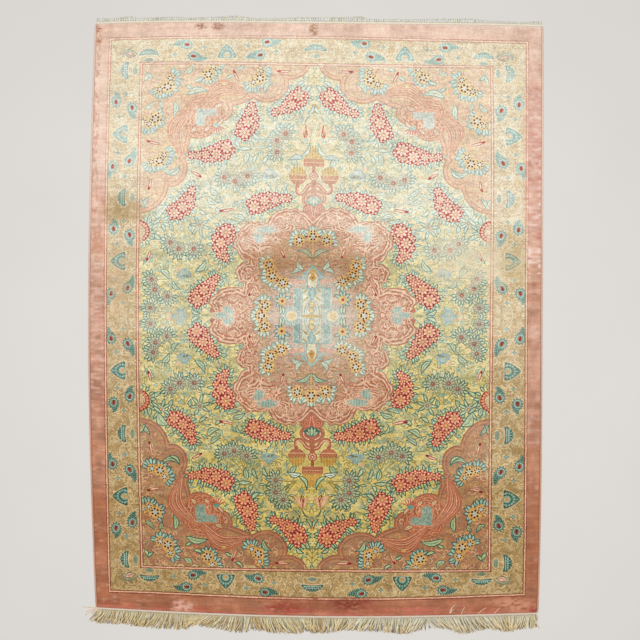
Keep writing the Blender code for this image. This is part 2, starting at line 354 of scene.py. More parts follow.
def cluster(head, middle, tail, head_size, middle_size, tail_size):
    """A flower head on a bent line, narrowing to its tail: florets packed on red discs, leaves all round."""
    head = np.array(head, float)
    tail = np.array(tail, float)
    pull = 2 * np.array(middle, float) - (head + tail) / 2
    shares = np.linspace(0, 1, 41)[:, None]
    line = head * (1 - shares) ** 2 + pull * 2 * shares * (1 - shares) + tail * shares ** 2
    sizes = np.interp(shares[:, 0], (0, 0.5, 1), (head_size, middle_size, tail_size))
    places = np.concatenate([[0], np.cumsum(np.hypot(*np.diff(line, axis=0).T))])
    length = float(places[-1])

    def spine(ahead):
        """A place so far from the line's head, the way across it, its bearing and half its width."""
        at = min(max(ahead, 0), length)
        near = min(max(at, 1), length - 1)
        spot, before, after = (np.array([np.interp(place, places, line[:, axis]) for axis in (0, 1)])
                               for place in (at, near - 1, near + 1))
        run = (after - before) / float(np.hypot(*(after - before)))
        half = math.sqrt(max(float(np.interp(at, places, sizes)) ** 2 - (ahead - at) ** 2, 0))
        return spot + run * (ahead - at), np.array((-run[1], run[0])), math.atan2(run[1], run[0]), half

    # leaves stand round the outline: first round each end, then along both sides
    walk = []
    for at, size, turns in ((0, head_size, range(100, 261, 23)), (length, tail_size, range(-80, 81, 40))):
        spot, _, bearing, _ = spine(at)
        for turn in turns:
            out = bearing + math.radians(turn)
            walk.append((spot + size * heading(out), out))
    for at in np.arange(3, length - 2, 4.6):
        spot, side, bearing, half = spine(at)
        for way in (-1, 1):
            walk.append((spot + half * way * side, bearing + way * (QUARTER - 0.25)))
    for place, out in walk:
        sway = hand.uniform(-0.35, 0.35)
        start = place - heading(out)
        point = start + heading(out + sway) * hand.uniform(5.4, 7.2)
        leaf(start, point, hand.uniform(2.3, 3.1), "light leaf", "teal", hand.uniform(-0.22, 0.22))

    # small flowers stand in rows across the line, and then wherever there is still room
    pitch = 7.5
    spots = []
    ahead = pitch * 0.46 - head_size
    while ahead < length + tail_size - pitch * 0.25:
        spot, side, _, half = spine(ahead)
        half -= pitch * 0.44
        count = 1 + max(0, int(2 * half / pitch + 0.55))
        for number in range(count):
            aside = 0 if count == 1 else half * (2 * number / (count - 1) - 1)
            spots.append(spot + aside * side + hand.uniform(-0.4, 0.4, 2))
        ahead += pitch * 0.88
    for _ in range(200):
        spot, side, _, half = spine(hand.uniform(-head_size, length + tail_size))
        half -= pitch * 0.44
        place = spot + hand.uniform(-1, 1) * half * side
        if half > 0 and all(float(np.hypot(*(place - other))) > 0.63 * pitch for other in spots):
            spots.insert(0, place)
    for at in np.arange(0, length, 1.5):
        spot, _, _, half = spine(at)
        disc(*spot, max(half - 2.2, 1), "red")
    for place in spots:
        disc(*place, pitch * 0.6, "red")
    for place in spots:
        floret(*place, pitch * 0.54, hand.uniform(0, TURN))

    # larger flowers stand in a chain down the middle, a little to either side in turn
    ahead = 6.6 - head_size
    way = 1
    while ahead < length + tail_size * 0.3:
        spot, side, _, half = spine(ahead)
        size = min(float(np.interp(ahead, places, sizes)) * 0.68, 6.2)
        spot = spot + way * max(half - size - 1, 0) * 0.6 * side
        if size > 4:
            blossom(*spot, size, ahead)
        ahead += size * 1.95
        way = -way


def radiate(flowers, foot, near, reach, width, silk, line, spacing=0.42, spread=0.35):
    """Petals or leaves round a group of flowers, pointing out from each, except towards the group's foot."""
    centres = np.array([flower[:2] for flower in flowers], float)
    count = round(TURN / spacing)
    for number, centre in enumerate(centres):
        back = np.array(foot, float) - centre
        back /= max(float(np.hypot(*back)), 0.01)
        for step in range(count):
            bearing = step * TURN / count + number * 0.3
            out = heading(bearing)
            middle = centre + out * (near + reach * 0.5)
            others = np.hypot(*(np.delete(centres, number, 0) - middle).T)
            if (len(others) and others.min() < near + reach * 0.35) or float(out @ back) > spread:
                continue
            size = hand.uniform(0.85, 1.15)
            sway = hand.uniform(-0.25, 0.25)
            start = centre + out * near * 0.8
            point = start + heading(bearing + sway) * reach * size
            leaf(start, point, width, silk, line, hand.uniform(-0.1, 0.1))


def sunflower(u, v, size):
    """A grey flower: eleven petals with fine lines between, a dark ring, a red disc and a pale eye."""
    for petal in range(11):
        bearing = petal * TURN / 11 + u
        leaf(outward(u, v, bearing, 1), outward(u, v, bearing, size * 1.08), size * 0.5,
             "stone", "stone line", line_width=0.7, full=1.3)
    for share, silk in ((0.34, "seed"), (0.27, "stone"), (0.21, "seed"), (0.15, "red")):
        disc(u, v, size * share, silk)
    disc(u - 0.2, v - 0.2, size * 0.09, "rose pale")


def sunflower_group(flowers, foot, spread):
    """Grey flowers with a fan of stems from their foot and a fringe of leaves on the far side."""
    for u, v, _ in flowers:
        middle = ((foot[0] + u) / 2 + (v - foot[1]) * 0.08, (foot[1] + v) / 2)
        stroke((foot, middle, (u, v)), 0.9, "olive")
    radiate(flowers, foot, 6.2, 5.8, 2.7, "light leaf", "teal", 0.45, spread)
    for flower in flowers:
        sunflower(*flower)


def rosette(u, v, size):
    """A golden flower: scalloped edge, paler petals, six dark beads and a pearl star at its middle."""
    wreath(u, v, 9, v, ((size * 0.66, size * 0.2, size * 0.13, "floret"),))
    disc(u, v, size * 0.56, "sun")
    for bead in range(6):
        bearing = bead * math.pi / 3 + u * 0.7
        disc(*outward(u, v, bearing, size * 0.48), size * 0.15, "bead")
        stroke(((u, v), outward(u, v, bearing + 0.52, size * 0.4)), 0.9, "pearl", smooth=False)
    disc(u, v, size * 0.22, "pearl")


def rosette_group(flowers, foot, spread=0.3, silk="light blue", line="teal"):
    """Golden rosettes grown together, with finger petals on the side away from their foot."""
    radiate(flowers, foot, 5.4, 7.2, 3.5, silk, line, 0.46, spread)
    for u, v, size in flowers:
        disc(u, v, size * 0.98, "sun")
        for petal in range(9):
            bearing = petal * TURN / 9 + v
            disc(u + math.cos(bearing) * size * 0.78, v + math.sin(bearing) * size * 0.84, size * 0.26, "sun",
                 size * 0.24, bearing)
        wreath(u, v, 5, u, ((size * 0.86, size * 0.11, size * 0.11, "bead"),))
    for flower in flowers:
        rosette(*flower)


def bird(head, tail):
    """A small bird mark: a red drop for a head and two fine strokes back to the tail over a pale body."""
    head = np.array(head, float)
    tail = np.array(tail, float)
    run = tail - head
    side = np.array((-run[1], run[0])) / max(float(np.hypot(*run)), 0.01)
    leaf(head, tail, 4.2, "rose pale", bend=0.05)
    stroke((head + side * 0.8, head + run * 0.5 + side * 1.5, tail + side * 0.4), 0.55, "red", 0.35)
    stroke((head - side * 0.6, head + run * 0.5 - side * 0.9, tail - side * 0.8), 0.7, "red", 0.35)
    leaf(head - run * 0.08, head + run * 0.3, 1.9, "red")


def haloed(part, shape):
    """The dark ground of a border flower on a soft pale halo."""
    dye(part, within(shape - 1.2, 1) * 0.75, "cream")
    dye(part, within(shape), "teal")


def boteh(u, v, tail_u, tail_v, size=5.4):
    """A paisley drop: an oval ringed with dark and light ticks round a dark seed, and a feathered tail."""
    run = np.array((tail_u - u, tail_v - v), float)
    length = float(np.hypot(*run))
    part, ahead, aside = around(u, v, math.atan2(run[1], run[0]), length + 3)
    share = np.clip(ahead / length, 0, 1)
    from_rib = np.abs(aside - 2.2 * np.sin(math.pi * share) * (0.4 + 0.6 * share))
    notches = np.cos((ahead - from_rib) * TURN / 2.5)
    tail = from_rib - size * 0.92 * (1 - share) ** 0.62 - 0.85 * notches
    tail = np.maximum(np.maximum(tail, -ahead), ahead - length)
    bearing = np.arctan2(aside, ahead)
    reach = np.hypot(ahead / 1.08, aside / 0.92)
    oval = reach - size - 0.95 * np.cos(bearing * 12)
    haloed(part, np.minimum(oval, tail))
    for cover, silk in (
            (within(tail + 0.5) * np.clip(notches * 1.4, 0, 1), "teal mid"),
            (within(oval + 0.4), "teal"),
            (within(oval + 0.7) * np.clip(np.cos(bearing * 12) * 1.5, 0, 1), "teal mid"),
            (within(np.abs(reach - size * 0.6) - 0.5), "light blue"),
            (within(reach - size * 0.5), "teal"),
            (within(reach - size * 0.4), "rose pale"),
            (within(np.hypot((ahead + 0.3) / 1.6, aside) - size * 0.28), "seed"),
            (within(np.hypot((ahead - 0.6) / 1.3, aside) - size * 0.12), "red")):
        dye(part, cover, silk)


def palmette(u, v, turn):
    """A shield-shaped flower, straight behind and pointed ahead: striped petals fan from a golden heart."""
    part, ahead, aside = around(u, v, turn, 13)
    share = np.clip((ahead + 5.6) / 14.6, 0, 1)
    front = np.maximum(np.abs(aside) - 9.4 * (1 - share ** 1.5) ** 0.8, ahead - 9)
    behind = -5.6 - ahead
    rounding = np.clip(1.6 - np.abs(front - behind), 0, None) / 1.6
    shape = np.maximum(front, behind) + rounding * rounding * 0.4
    haloed(part, shape)
    reach = np.hypot(aside, ahead + 2.4)
    petals = np.clip(np.cos(np.arctan2(aside, ahead + 2.4) * 15) * 1.4, 0, 1)
    dye(part, within(shape + 1) * within(4.6 - reach) * (0.35 + 0.65 * petals), "teal mid")
    dye(part, within(np.abs(reach - 6.2) - 0.7) * within(shape + 0.8) * (0.4 + 0.6 * petals), "light blue")
    crown = within(np.abs(ahead + 4.4) - 0.8) * within(np.abs(aside) - 7.2)
    dye(part, crown * stripes(aside, 2.7, 1.6), "light blue")
    heart = outward(u, v, turn, -2.9)
    disc(*outward(u, v, turn, -2.6), 3.9, "teal mid")
    disc(*heart, 3.2, "light blue")
    disc(*heart, 2.5, "gold")
    for petal in range(6):
        disc(*outward(*heart, turn + petal * math.pi / 3, 1.7), 0.7, "gold light", 0.5)
    disc(*heart, 1.3, "sun")
    disc(*heart, 0.6, "tan")


def crescent(u, v, turn, reach=9, bulge=4.6, apart=10):
    """A lotus: a boat shape striped across, a row of light beads down it, and a small ringed bar behind."""
    part, ahead, aside = around(u, v, turn, reach * 1.5)
    arch = np.clip(1 - (aside / reach) ** 2, 0, 1)
    ahead_of_hull = ahead + bulge * 0.55 * (1 - arch)
    front = ahead_of_hull - bulge * arch ** 0.62 - 0.55 * np.cos(aside * TURN / 2.7)
    shape = np.maximum(front, -ahead_of_hull - bulge * 0.55 * arch ** 0.3)
    shape = np.maximum(shape, np.abs(aside) - reach)
    haloed(part, shape)
    from_middle = np.abs(ahead - bulge * 0.12)
    width = np.abs(aside) - reach * 0.7
    dye(part, within(shape + 0.8) * stripes(aside, 2.7, 1.5), "teal mid")
    dye(part, within(from_middle - 0.9) * within(width), "teal mid")
    dye(part, within(from_middle - 0.6) * stripes(aside, 2, 1.6) * within(width + reach * 0.05), "pearl")
    dye(part, within(np.abs(ahead + bulge * 0.32) - 0.4) * within(width - reach * 0.1), "light blue")
    for wide, long, silk in ((2.9, 5.4, "cream"), (2.1, 4.4, "petal line"), (1.2, 3.4, "stone"),
                             (0.9, 2.6, "petal line")):
        disc(*outward(u, v, turn, -apart), wide, silk, long, turn)


def cross_mark(u, v):
    """A little four-petalled flower between the larger motifs."""
    disc(u, v, 2.9, "cream", 2.6)
    wreath(u, v, 4, 0, ((1.3, 1.1, 0.8, "petal line"),))
    disc(u, v, 0.9, "cartouche")


def ribs(start, middle, end, spread, count, width, silks):
    """Parallel curved lines: one bowed line moved sideways by even steps, wider at its middle."""
    start, middle, end = np.array((start, middle, end), float)
    run = end - start
    side = np.array((-run[1], run[0])) / float(np.hypot(*run))
    for number in range(count):
        shift = (number / (count - 1) - 0.5) * spread * side
        stroke((start + shift * 0.35, middle + shift, end + shift * 0.35), width, silks[number % len(silks)],
               width * 0.7)


def curls(places, silks, low, high, width):
    """Small spiral strokes scattered at seeded places, as the fine scrollwork between larger motifs."""
    steps = np.linspace(0, 1, 8)
    for u, v in places:
        size = hand.uniform(low, high)
        start = hand.uniform(0, TURN)
        way = 1 if hand.random() < 0.5 else -1
        radius = size * (1 - 0.6 * steps)
        bearing = start + way * hand.uniform(3, 5.4) * steps
        points = np.stack([u + radius * np.cos(bearing), v + radius * np.sin(bearing)], 1)
        stroke(points, width, silks[hand.integers(len(silks))], width * 0.7, smooth=False)


def plumes(places, silks, long, width):
    """Small fans of parallel bowed strokes at seeded places, as feathered leaves between larger motifs."""
    for u, v in places:
        bearing = hand.uniform(0, TURN)
        bow = hand.uniform(-0.5, 0.5)
        reach = long * hand.uniform(0.7, 1.2)
        silk = silks[hand.integers(len(silks))]
        for number in (-1, 0, 1):
            lean = bearing + number * 0.42
            foot = outward(u, v, bearing + QUARTER, number * 1.1)
            middle = outward(*foot, lean, reach * 0.5)
            stroke((foot, middle, outward(*middle, lean + bow, reach * 0.5)), width, silk, width * 0.6, False)


def scatter(low_u, high_u, low_v, high_v, pitch):
    """Places on a loose grid, each moved by chance within its cell."""
    us = np.arange(low_u, high_u, pitch)
    vs = np.arange(low_v, high_v, pitch)
    grid = np.stack(np.meshgrid(us, vs), -1).reshape(-1, 2)
    return grid + hand.uniform(-0.45, 0.45, grid.shape) * pitch


def read_at(places, distance):
    """A distance to an outline, read at some places."""
    row = np.clip(places[:, 1] * FINE, 0, SAMPLES[0] - 1).astype(int)
    column = np.clip(places[:, 0] * FINE, 0, SAMPLES[1] - 1).astype(int)
    return distance[row, column]


# ---------------------------------------------------------------- grounds of the drawing
drawing[...] = SILK["yellow"]

# field: strawy patches and olive stems before anything is laid over them
straw = wash("straw", 17, 26, 3, 0.42, 2.4, 0.85)
for silk, rows_high, columns_wide, seed, level, gain, most in (
        ("olive", 9, 23, 4, 0.66, 2, 0.4), ("straw", 3, 8, 5, 0.55, 2.2, 0.6),
        ("olive", 3, 7, 6, 0.66, 2.2, 0.4), ("petal line", 11, 16, 8, 0.5, 1.5, 0.34)):
    wash(silk, rows_high, columns_wide, seed, level, gain, most)
FIELD = (4, 170, 0, 250)
for u, v in scatter(*FIELD, 8.5):
    bearing = hand.uniform(0, TURN)
    end = outward(u, v, bearing, hand.uniform(4, 9))
    bow = hand.uniform(-2.5, 2.5)
    stroke(((u, v), outward((u + end[0]) / 2, (v + end[1]) / 2, bearing + QUARTER, bow), end), 0.8, "olive")
for u, v in scatter(*FIELD, 10.5):
    tip = outward(u, v, hand.uniform(0, TURN), hand.uniform(5, 9))
    leaf((u, v), tip, hand.uniform(1.8, 3), "light leaf", "teal mid" if hand.random() < 0.6 else "teal",
         hand.uniform(-0.3, 0.3), 0.7)
curls(scatter(*FIELD, 6), ("straw", "olive", "cream", "petal line", "teal mid"), 1.6, 3.8, 0.8)
# the ground is plainer round the vases on the long axis
plainer = np.clip((1 - np.hypot(U_ALL / 29, (V_ALL - 138) / 37)) * 4, 0, 1)
dye(WHOLE, plainer * np.clip(1.15 - straw * 0.8, 0.5, 0.85), "yellow")

# ---------------------------------------------------------------- spandrel: the lobed corner ground
# rows: lobe's place across and down, its radius across and down
SPANDREL_LOBES = (
    (172, 132, 29, 29), (140, 146, 14.5, 17.5), (114, 193, 19, 16.5), (92, 205.5, 11.5, 11.5),
    (47, 232, 21.5, 18.5), (25, 258, 22, 21.5), (158, 205, 38, 74), (112, 236, 64, 30), (130, 165, 5, 9),
    (72, 226, 10, 9),
)
corner = lobes_distance(SPANDREL_LOBES)
dye(WHOLE, within(corner), "rose")
wash("sun", 8, 24, 7, 0.55, 1.8, 0.4, within(corner))
places = scatter(2, 172, 104, 252, 3.9)
curls(places[read_at(places, corner) < -7], ("rose pale", "ribbon", "tan", "gold", "ribbon", "rib"),
      1.4, 3.8, 0.7)
for low, high, silk, strength in ((-3.8, 0, "guard edge", 0.22), (-0.5, 0.5, "rust", 0.8),
                                  (-4.1, -3.5, "rust", 0.8), (-2.4, -1.8, "rib", 0.8)):
    dye(WHOLE, within(low - corner) * within(corner - high) * strength, silk)

# the corner piece: two bars that meet, in a hood of lines that keep their distance from it
uneven_edge = noise(SAMPLES, 5, 5, 29) - 0.5
piece_distance = uneven_edge * 2.2 + np.minimum(
    np.maximum(np.abs(U_ALL - 112.2) - 4.6, np.abs(V_ALL - 197.6) - 9),
    np.maximum(np.abs(U_ALL - 106.7) - 10.2, np.abs(V_ALL - 202.9) - 3.6))
round_distance = np.hypot(U_ALL - 109, V_ALL - 198) - 9
hugging = np.clip(1.2 - piece_distance / 9, 0, 1)
nested = piece_distance * hugging + round_distance * (1 - hugging)
hood = within(corner + 1) * np.clip((15 - round_distance) / 4, 0, 1)
hood_wave = np.sin((nested + uneven_edge * 2) * TURN / 3.1) * 1.5
dye(WHOLE, hood * 0.75, "ribbon")
dye(WHOLE, hood * np.clip(hood_wave, 0, 0.85), "rust")
dye(WHOLE, hood * np.clip(-hood_wave, 0, 0.75), "rib")

# arabesque bands sweep from the lobed edge round the corner piece
for start, middle, end in (((133, 163), (138, 187), (119, 207)),
                           ((111, 210), (93, 227), (66, 222))):
    ribs(start, middle, end, 14, 9, 2.8, ("ribbon",))
    ribs(start, middle, end, 13, 15, 0.7, ("rust", "rib", "ribbon", "rust", "rose pale"))
dye(WHOLE, within(piece_distance - 1.2) * 0.6, "rib")
dye(WHOLE, within(piece_distance), "corner blue")
for u, v in scatter(96.5, 116.5, 188.6, 206.4, 2.3):
    if (abs(u - 112.2) < 4.4 and v > 188.6) or v > 199.6:
        disc(u, v, 0.8, "light blue" if hand.random() < 0.5 else "teal mid", 0.5, hand.uniform(0, 3))
curls(((95, 193), (122, 190), (103, 191), (88, 203), (124, 199)), ("rib", "rose pale"),
      2.2, 3.2, 0.8)
for foot, tip, width in (((122, 183), (116.5, 190), 4), ((108, 183.5), (103, 190), 4),
                         ((98.5, 208.5), (90, 212.5), 4.5), ((96, 190), (89, 198), 3.5)):
    leaf(foot, tip, width, "cream", "rust", 0.1)

# rows: flowers of a group (across, down, size), then the place of the group's foot
SPANDREL_GROUPS = (
    (((152.3, 154.5, 6.4), (160.5, 153.5, 4.6), (148, 160.5, 4.6)), (163, 170)),
    (((158, 196.5, 6.8), (164, 192, 4.8), (170, 194.5, 4.5)), (172, 212)),
    (((146, 229.5, 6.8), (153.6, 226.4, 5.2), (143.4, 238, 4.8)), (158, 246)),
    (((106, 240.3, 6.6), (101, 248.8, 5)), (112, 254)),
    (((54.8, 237, 6.6), (61.7, 232.7, 4.8), (53.5, 244.7, 4.6)), (67, 249)),
)
for flowers, foot in SPANDREL_GROUPS:
    rosette_group(flowers, foot)

# rows: leaf's foot and tip (across, down), width, bend
SPANDREL_LEAVES = (
    (171, 108.5, 162, 118.5, 4, 0), (150, 146, 134, 148, 4.5, 0.3), (143, 139.5, 133, 149, 3.2, 0.2),
    (138, 213, 139.5, 198, 5.2, -0.12), (151.5, 207, 154.5, 214, 4.2, 0.1),
    (168, 207, 159.5, 214.5, 4.4, 0.15), (168.5, 243, 160, 237.5, 3.4, 0), (170, 235, 166, 242.5, 3.6, 0.1),
    (130, 243, 122, 250.5, 5.4, 0.18), (127, 220.5, 106, 223, 6, -0.16), (120, 234, 111, 237, 3.6, 0.1),
    (50, 222.5, 41, 233, 4.6, -0.25), (128, 230, 121.5, 226, 3, 0), (78, 246, 70, 251, 3.2, 0.1),
    (88, 236, 80, 240, 3, -0.1),
)
green_leaves(SPANDREL_LEAVES)
stroke(((129, 220), (128, 236), (116, 247.5), (104, 251)), 1.2, "gold")
stroke(((168, 211), (156, 209), (142, 215), (131, 213)), 1, "gold")
for u, v in ((38, 250), (20, 250), (90, 231), (148, 248.5)):
    disc(u, v, 2.2, "sun", long=1.6)
for head, tail in (((163, 126), (160.5, 136.5)), ((165, 175.5), (153, 172)),
                   ((81, 244.5), (76.5, 233.5)), ((37, 245), (24, 245))):
    bird(head, tail)

# ---------------------------------------------------------------- field flowers
# rows: the flower head's thick end, its middle and its tail (across, down each), then the three half widths
CLUSTERS = (
    (136, 103.5, 126, 110, 119.4, 126, 8.2, 8.4, 4.2), (88, 165.3, 103, 160, 119, 159.8, 9.2, 7.4, 3.9),
    (67.4, 185.5, 63.4, 194.5, 62, 206.5, 9.4, 9, 4.8), (16.4, 217.5, 26, 209, 38, 203.2, 9.6, 6.4, 3.8),
    (56, 111.6, 43.5, 115.8, 25.4, 119, 8.8, 7.6, 3.9), (86.4, 81, 91.6, 69.6, 86.4, 58.4, 9.6, 7.2, 4.4),
    (112.4, 18.4, 105.6, 26.6, 97, 37, 9.4, 7.8, 4.2),
)
for row in CLUSTERS:
    cluster(row[0:2], row[2:4], row[4:6], *row[6:])

# the half flower head against the inner guard
HALF_FLOWER = (173, 85)
for number in range(7):
    bearing = math.radians(100 + number * 27)
    leaf(outward(171, 84, bearing, 9.5), outward(171, 84, bearing, 16), 2.8, "light leaf", "teal")
disc(*HALF_FLOWER, 11.2, "red")
for number in range(11):
    wreath(*HALF_FLOWER, 1, math.radians(92 + number * 17.5), ((8.8, 1.7, 1.2, "salmon"),))
disc(*HALF_FLOWER, 6.8, "cream")
for number in range(9):
    stroke((HALF_FLOWER, outward(*HALF_FLOWER, math.radians(96 + number * 21), 6.4)), 0.7,
           "ribbon" if number % 2 else "rust", smooth=False)

# rows: flowers (across, down, size), place of the foot that their stems come from, how far leaves go round
SUNFLOWER_GROUPS = (
    (((88, 138, 6), (77.5, 134.5, 6.6), (65, 139.5, 6.4)), (67, 157), 0.25),
    (((36, 163.5, 6.2), (36.4, 175, 6.2), (28.5, 182, 6.2)), (16, 165), 0.35),
    (((141.2, 73, 6), (132.4, 67, 6.4), (117.6, 67.2, 6.2)), (127, 88), 0.35),
    (((143.6, 20.8, 5.6), (155.6, 27.2, 6), (158, 37, 5.8)), (138, 38), 0.35),
    (((160.8, 8, 5),), (150, 4), 0.45),
)
for flowers, foot, spread in SUNFLOWER_GROUPS:
    sunflower_group(flowers, foot, spread)
for u, v in ((151, 94), (111.6, 89.5)):
    radiate(((u, v),), (u - 2, v + 12), 3, 9, 3, "light leaf", "teal", 0.85, 0.9)
    for size, silk in ((3.4, "stone"), (1.6, "brown"), (0.9, "floret")):
        disc(u, v, size, silk)

# blue-grey palmettes with a pink cheek: place, size across and down, where the cheek lies
for u, v, wide, long, cheek_u, cheek_v in ((131.5, 0, 8.5, 6, 11, 2.5), (126, 42, 7.5, 5.5, 6.5, 5.5),
                                           (43, 141, 8.5, 5.5, 4.5, 7)):
    disc(u, v - 0.6, wide, "cartouche", long * 0.7)
    disc(u, v + long * 0.35, wide * 0.62, "cartouche", long * 0.75)
    disc(u - wide * 0.3, v - long * 0.3, wide * 0.5, "stone line", long * 0.22, 0.2)
    disc(u + wide * 0.1, v + long * 0.35, wide * 0.42, "light blue", long * 0.4)
    for rib in (-0.5, -0.15, 0.2, 0.5):
        stroke(((u + rib * wide * 1.3, v - long * 0.4), (u + rib * wide * 0.7, v + long * 0.7)), 0.7, "stone")
    disc(u + cheek_u, v + cheek_v, 2.2, "rose pale", 1.5)

# rows: leaf's foot and tip (across, down), width, bend
FIELD_LEAVES = (
    (137, 36, 130, 27.5, 4.2, 0.25), (149, 46, 141, 37.5, 5.4, -0.2), (115, 45, 106.5, 57, 5.2, 0.15),
    (90, 40, 84, 39, 4, 0), (84, 97, 72, 94.5, 4.4, 0.15), (118, -8, 112.5, -2, 3.6, 0.1),
    (120, 6, 110, 2, 3.6, 0.15), (157, 82, 150.5, 76, 3.8, 0.1), (158, 91.5, 150, 98, 3.2, 0),
    (164, 92, 162, 101.5, 4.2, 0.1), (154, 98, 143, 109, 8.5, -0.22), (141, 91, 139, 84, 4, 0.1),
    (122, 90, 121, 83, 4, 0), (104, 120, 92, 113, 5.6, 0.2), (101, 128, 91, 122, 4.6, 0.2),
    (78, 100, 66, 96, 4.6, -0.15), (64, 163, 66.5, 151.5, 5, 0.05), (73, 166, 60, 166, 3.8, -0.05),
    (59, 152, 54, 162.5, 3.2, -0.1), (76, 174, 72, 168, 3.6, 0.1), (62, 174, 58.5, 168, 3.6, 0.1),
    (21, 157, 16, 150, 5, 0.1), (172, 118, 166, 108, 3.8, 0.1), (60, 182, 52, 176, 3.8, 0.1),
    (96, 108, 88, 104, 3.6, 0.1), (49, 152, 44, 160, 3.8, -0.1), (112, 106, 104, 101, 3.6, 0.1),
)
green_leaves(FIELD_LEAVES)
for head, tail in (((163, 55.5), (160, 65)), ((91.5, 105), (78, 107)),
                   ((111, 138), (120.5, 143))):
    bird(head, tail)

# a small fan flower beside the corner piece
for number in range(7):
    bearing = math.radians(-150 + number * 22)
    for reach, width, silk in ((9, 1.2, "salmon"), (7, 0.6, "red")):
        stroke(((95.5, 190), outward(95.5, 190, bearing, reach)), width, silk)
disc(96, 189.5, 3, "teal mid", 2.2)


# ---------------------------------------------------------------- vases and pendant on the long axis
def vase(u, v, wide, rim, deep, domed):
    """A bowl: a striped rim, domed or straight, over hanging golden threads that end in a half oval."""
    part, across, down = patch(u - wide - 2, u + wide + 2, v - 2, v + rim + deep + 2)
    aside = across - u
    down = down - v
    share = np.clip(down / rim, 0, 1)
    half = wide * (np.sqrt(1 - (1 - share) ** 2) if domed else 1)
    shape = np.maximum(np.maximum(np.abs(aside) - half, -down), down - rim)
    dots = np.clip(np.cos(aside * TURN / 2.8) * np.cos(down * TURN / 2.8) * 2.4, 0, 1)
    dye(part, within(shape), "rust")
    dye(part, within(shape + 0.3) * stripes(down - rim * 0.52, rim * 0.48, 3, 1.6) * 0.6, "rose pale")
    dye(part, within(shape + 0.4) * dots * (0.1 + 0.75 * share), "sun")
    fall = (down - rim) / deep
    body = np.hypot(aside / (wide * 0.9), np.clip(fall, 0, 2)) - 1
    threads = np.cos(aside * TURN / 2.8)
    body = np.maximum(body * deep * 0.7 + 0.7 * threads * np.clip(fall * 2, 0, 1), rim - down)
    threads = 0.55 - 0.45 * threads
    dye(part, within(body) * (0.45 + 0.55 * threads), "vase")
    dye(part, within(np.abs(body + 0.3) - 0.3) * (down > rim) * (0.3 + 0.5 * threads), "olive")


stroke(((0, 98), (0, 112)), 13, "rust", 9)
disc(0, 116.5, 11.6, "rust", 9.4)
ring(0, 116.5, 10.2, 0.8, "rose")
disc(0, 116.5, 8.2, "rose pale", 6.8)
disc(0, 117.5, 7.2, "rust", 4.4)
leaf((-8, 114.4), (8, 114.4), 10.4, "teal", full=1)
for tip_u, tip_v in ((5.8, 114.5), (3.6, 110.5), (0, 109)):
    leaf((0, 118.6), (tip_u, tip_v), 3, "light leaf", "teal", line_width=0.6)
disc(5.5, 105.9, 5.2, "rust")
ring(5.5, 105.9, 3.4, 0.8, "salmon")
ring(5.2, 106.3, 1.5, 0.7, "salmon")
stroke(((1, 99), (1.2, 104), (2.5, 110)), 0.8, "salmon")
stroke(((0, 122), (0, 136)), 5, "rust", 3.6, smooth=False)
stroke(((1, 131.5), (5, 130.5), (8.5, 125), (12, 122.4), (16, 124), (16.2, 131.5)), 4.6, "rust", 2.8)
stroke(((2, 131.4), (5.6, 130.2), (9, 125.2), (12, 123), (15.2, 124.6), (15.8, 130)), 0.7, "rose pale")
disc(0, 140.3, 4.6, "rust")
wreath(0, 140.3, 8, 0.4, ((2.9, 0.9, 0.9, "rose pale"),))
disc(0, 140.3, 1, "rose pale")
stroke(((0, 144.5), (0, 150)), 3.2, "rust", 6, smooth=False)
vase(0, 150, 10.4, 7.6, 12, False)
vase(15.5, 131.5, 8.9, 9.6, 8.4, True)
disc(15.6, 131, 1.9, "rust", long=2.2)
leaf((11.3, 157.6), (25, 155.6), 4.6, "petal", "teal", bend=0.16)
leaf((13.6, 159.5), (4.6, 173), 3.6, "light leaf", "teal", bend=0.2)
leaf((8.8, 190.5), (17.4, 178.2), 6.4, "rose pale", "sun", bend=-0.12)
leaf((8.2, 190.5), (2.2, 179), 5.4, "rose pale", "sun", bend=0.12)
stroke(((8.6, 190), (8.4, 184), (9.8, 178.4)), 0.9, "red", 0.7)
stroke(((7.6, 184.5), (7.4, 180.5), (8.6, 178)), 0.7, "red")
stroke(((10.4, 183.5), (10.4, 180), (9.6, 178)), 0.7, "red")
stroke(((12.6, 189), (8.7, 193.8), (6, 198.3), (0.9, 201.8), (0, 207)), 1, "olive")
stroke(((9, 193), (8, 196.5), (5, 199)), 0.8, "teal")
disc(0, 207, 4.6, "sun", long=5.4)
disc(0, 207, 2.6, "vase", long=4)
leaf((6, 201.5), (1.5, 211), 3.2, "light leaf", "teal", bend=0.2)
for foot, tip in (((12, 225.5), (6, 230)), ((7, 224), (2, 231)), ((17, 230), (9, 234.5))):
    leaf(foot, tip, 3.6, "light leaf", "teal", bend=-0.12)
stroke(((0, 228), (0, 248)), 1, "olive", smooth=False)
for drop in (232, 237, 242):
    stroke(((0, drop + 3), (4, drop - 1), (6, drop)), 0.9, "olive")

# ---------------------------------------------------------------- the medallion
# rows: lobe's place across and down, its radius across and down
MEDALLION_LOBES = (
    (0, 0, 74, 84), (22, 88, 24, 19.5), (54, 73.5, 23, 21.5), (62, 42, 12, 12), (77, 11, 23.5, 17.5),
    (45, 60, 20, 30),
)
